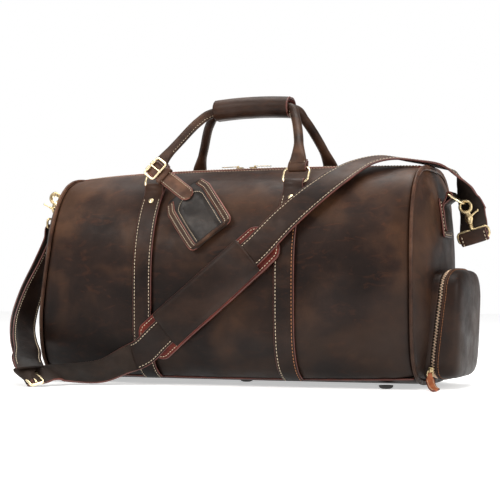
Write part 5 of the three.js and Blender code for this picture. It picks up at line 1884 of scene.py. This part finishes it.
def stage():
    bpy.ops.mesh.primitive_plane_add(size=14)
    floor = bpy.context.object
    floor.name = "studio_floor"
    s = Shader("studio_white")
    s.link(s.ramp(s.noise(3, 2), (0.3, (0.86, 0.86, 0.86)), (0.7, (0.88, 0.88, 0.88))),
           s.surface.inputs["Base Color"])
    s.set(Roughness=0.75, Specular_IOR_Level=0.2, Emission_Strength=0.5)
    s.surface.inputs["Emission Color"].default_value = (1, 1, 1, 1)
    floor.data.materials.append(s.material)
    world = bpy.data.worlds.new("studio")
    bpy.context.scene.world = world
    world.use_nodes = True
    # The backdrop is plain white to the eye, but lights the bag more softly.
    back = world.node_tree.nodes["Background"]
    back.inputs["Color"].default_value = (1, 1, 1, 1)
    seen = world.node_tree.nodes.new("ShaderNodeLightPath")
    level = world.node_tree.nodes.new("ShaderNodeMapRange")
    level.inputs["To Min"].default_value = 0.5
    level.inputs["To Max"].default_value = 1.0
    world.node_tree.links.new(seen.outputs["Is Camera Ray"], level.inputs["Value"])
    world.node_tree.links.new(level.outputs["Result"], back.inputs["Strength"])
    # Plain studio response: white stays white and the browns keep their depth.
    bpy.context.scene.view_settings.view_transform = "Standard"
    area_light("key", (-1.3, -1.9, 1.7), (1.4, 1.0), 32, (1, 0.96, 0.91))
    area_light("top", (0.1, 0.1, 2.0), (2.2, 1.2), 50, (1, 0.98, 0.94))
    area_light("side", (2.2, -0.9, 0.9), (0.9, 1.2), 24, (1, 0.97, 0.93))


def camera():
    data = bpy.data.cameras.new("camera")
    data.lens = 100.87
    data.sensor_width = 36
    view = bpy.data.objects.new("camera", data)
    bpy.context.collection.objects.link(view)
    view.location = (0.7326, -1.8077, 0.1206)
    aim = Vector((0.005, 0, 0.1829)) - view.location
    view.rotation_euler = aim.to_track_quat("-Z", "Y").to_euler()
    bpy.context.scene.camera = view


# ---------------------------------------------------------------- building it all
def stitched(name, seams, body, slot="dark_leather"):
    if seams.points:
        seams.make(name, [CREAM, TAN], body, slot)


def build_body():
    seams = Parts()
    for word, side in (("front", -1), ("back", 1)):
        main_panel(side, word)
        zip_facing(side, word, seams)
        for place_word, end in (("left", -1), ("right", 1)):
            handle_strap(side, end, word, place_word, seams)
            handle_ring(side, end, word, place_word)
            rivet(side, end, word, place_word)
    for place_word, end in (("left", -1), ("right", 1)):
        end_panel(end, place_word)
        piping(end, place_word)
    base()
    main_zip()
    main_slider(-1, "left")
    main_slider(1, "right")
    stitched("body_stitches", seams, "bag")


def build_handles():
    front_seams, back_seams = Parts(), Parts()
    handle(-1, "front", front_seams)
    handle(1, "back", back_seams)
    grip_wrap(front_seams)
    stitched("front_handle_stitches", front_seams, "front_handle")
    stitched("back_handle_stitches", back_seams, "back_handle")


def build_strap():
    seams = Parts()
    route = OVER_TOP + DOWN_FRONT + ON_FLOOR + THROUGH_SLIDE
    strap_band("shoulder_strap_leather", route, 380, SHOULDER_WIDTH, SHOULDER_LEATHER, "bag",
               ["shoulder_strap"], seams, (2, 2), bare_left_of=BARE_LEFT_OF)
    pad_base(seams)
    pad_sleeve(seams)
    stitched("strap_stitches", seams, "bag")
    strap_slider()


def build_ends():
    seams = Parts()
    for word, place_of in (("left", LEFT), ("right", RIGHT)):
        end, bar = place_of["end"], place_of["bar"]
        out, down, eye, across = fitting_places(**place_of)
        side_tab(end, bar, word, seams)
        d_ring(bar, out, word)
        swivel(down, eye, across, word)
        hook(down, eye, word)
        trigger(end, down, eye, word)
        if end > 0:
            strap_end_right(down, eye, across)
        else:
            strap_end_left(down, eye)
    stitched("end_stitches", seams, "bag", "red_leather")


build_body()
build_handles()
build_strap()
build_ends()
luggage_tag()
tag_strap()
shoe_pocket()
shoe_zip_slider()
feet()
lining()
repaint_carried("base_board", BOARD)
stage()
camera()
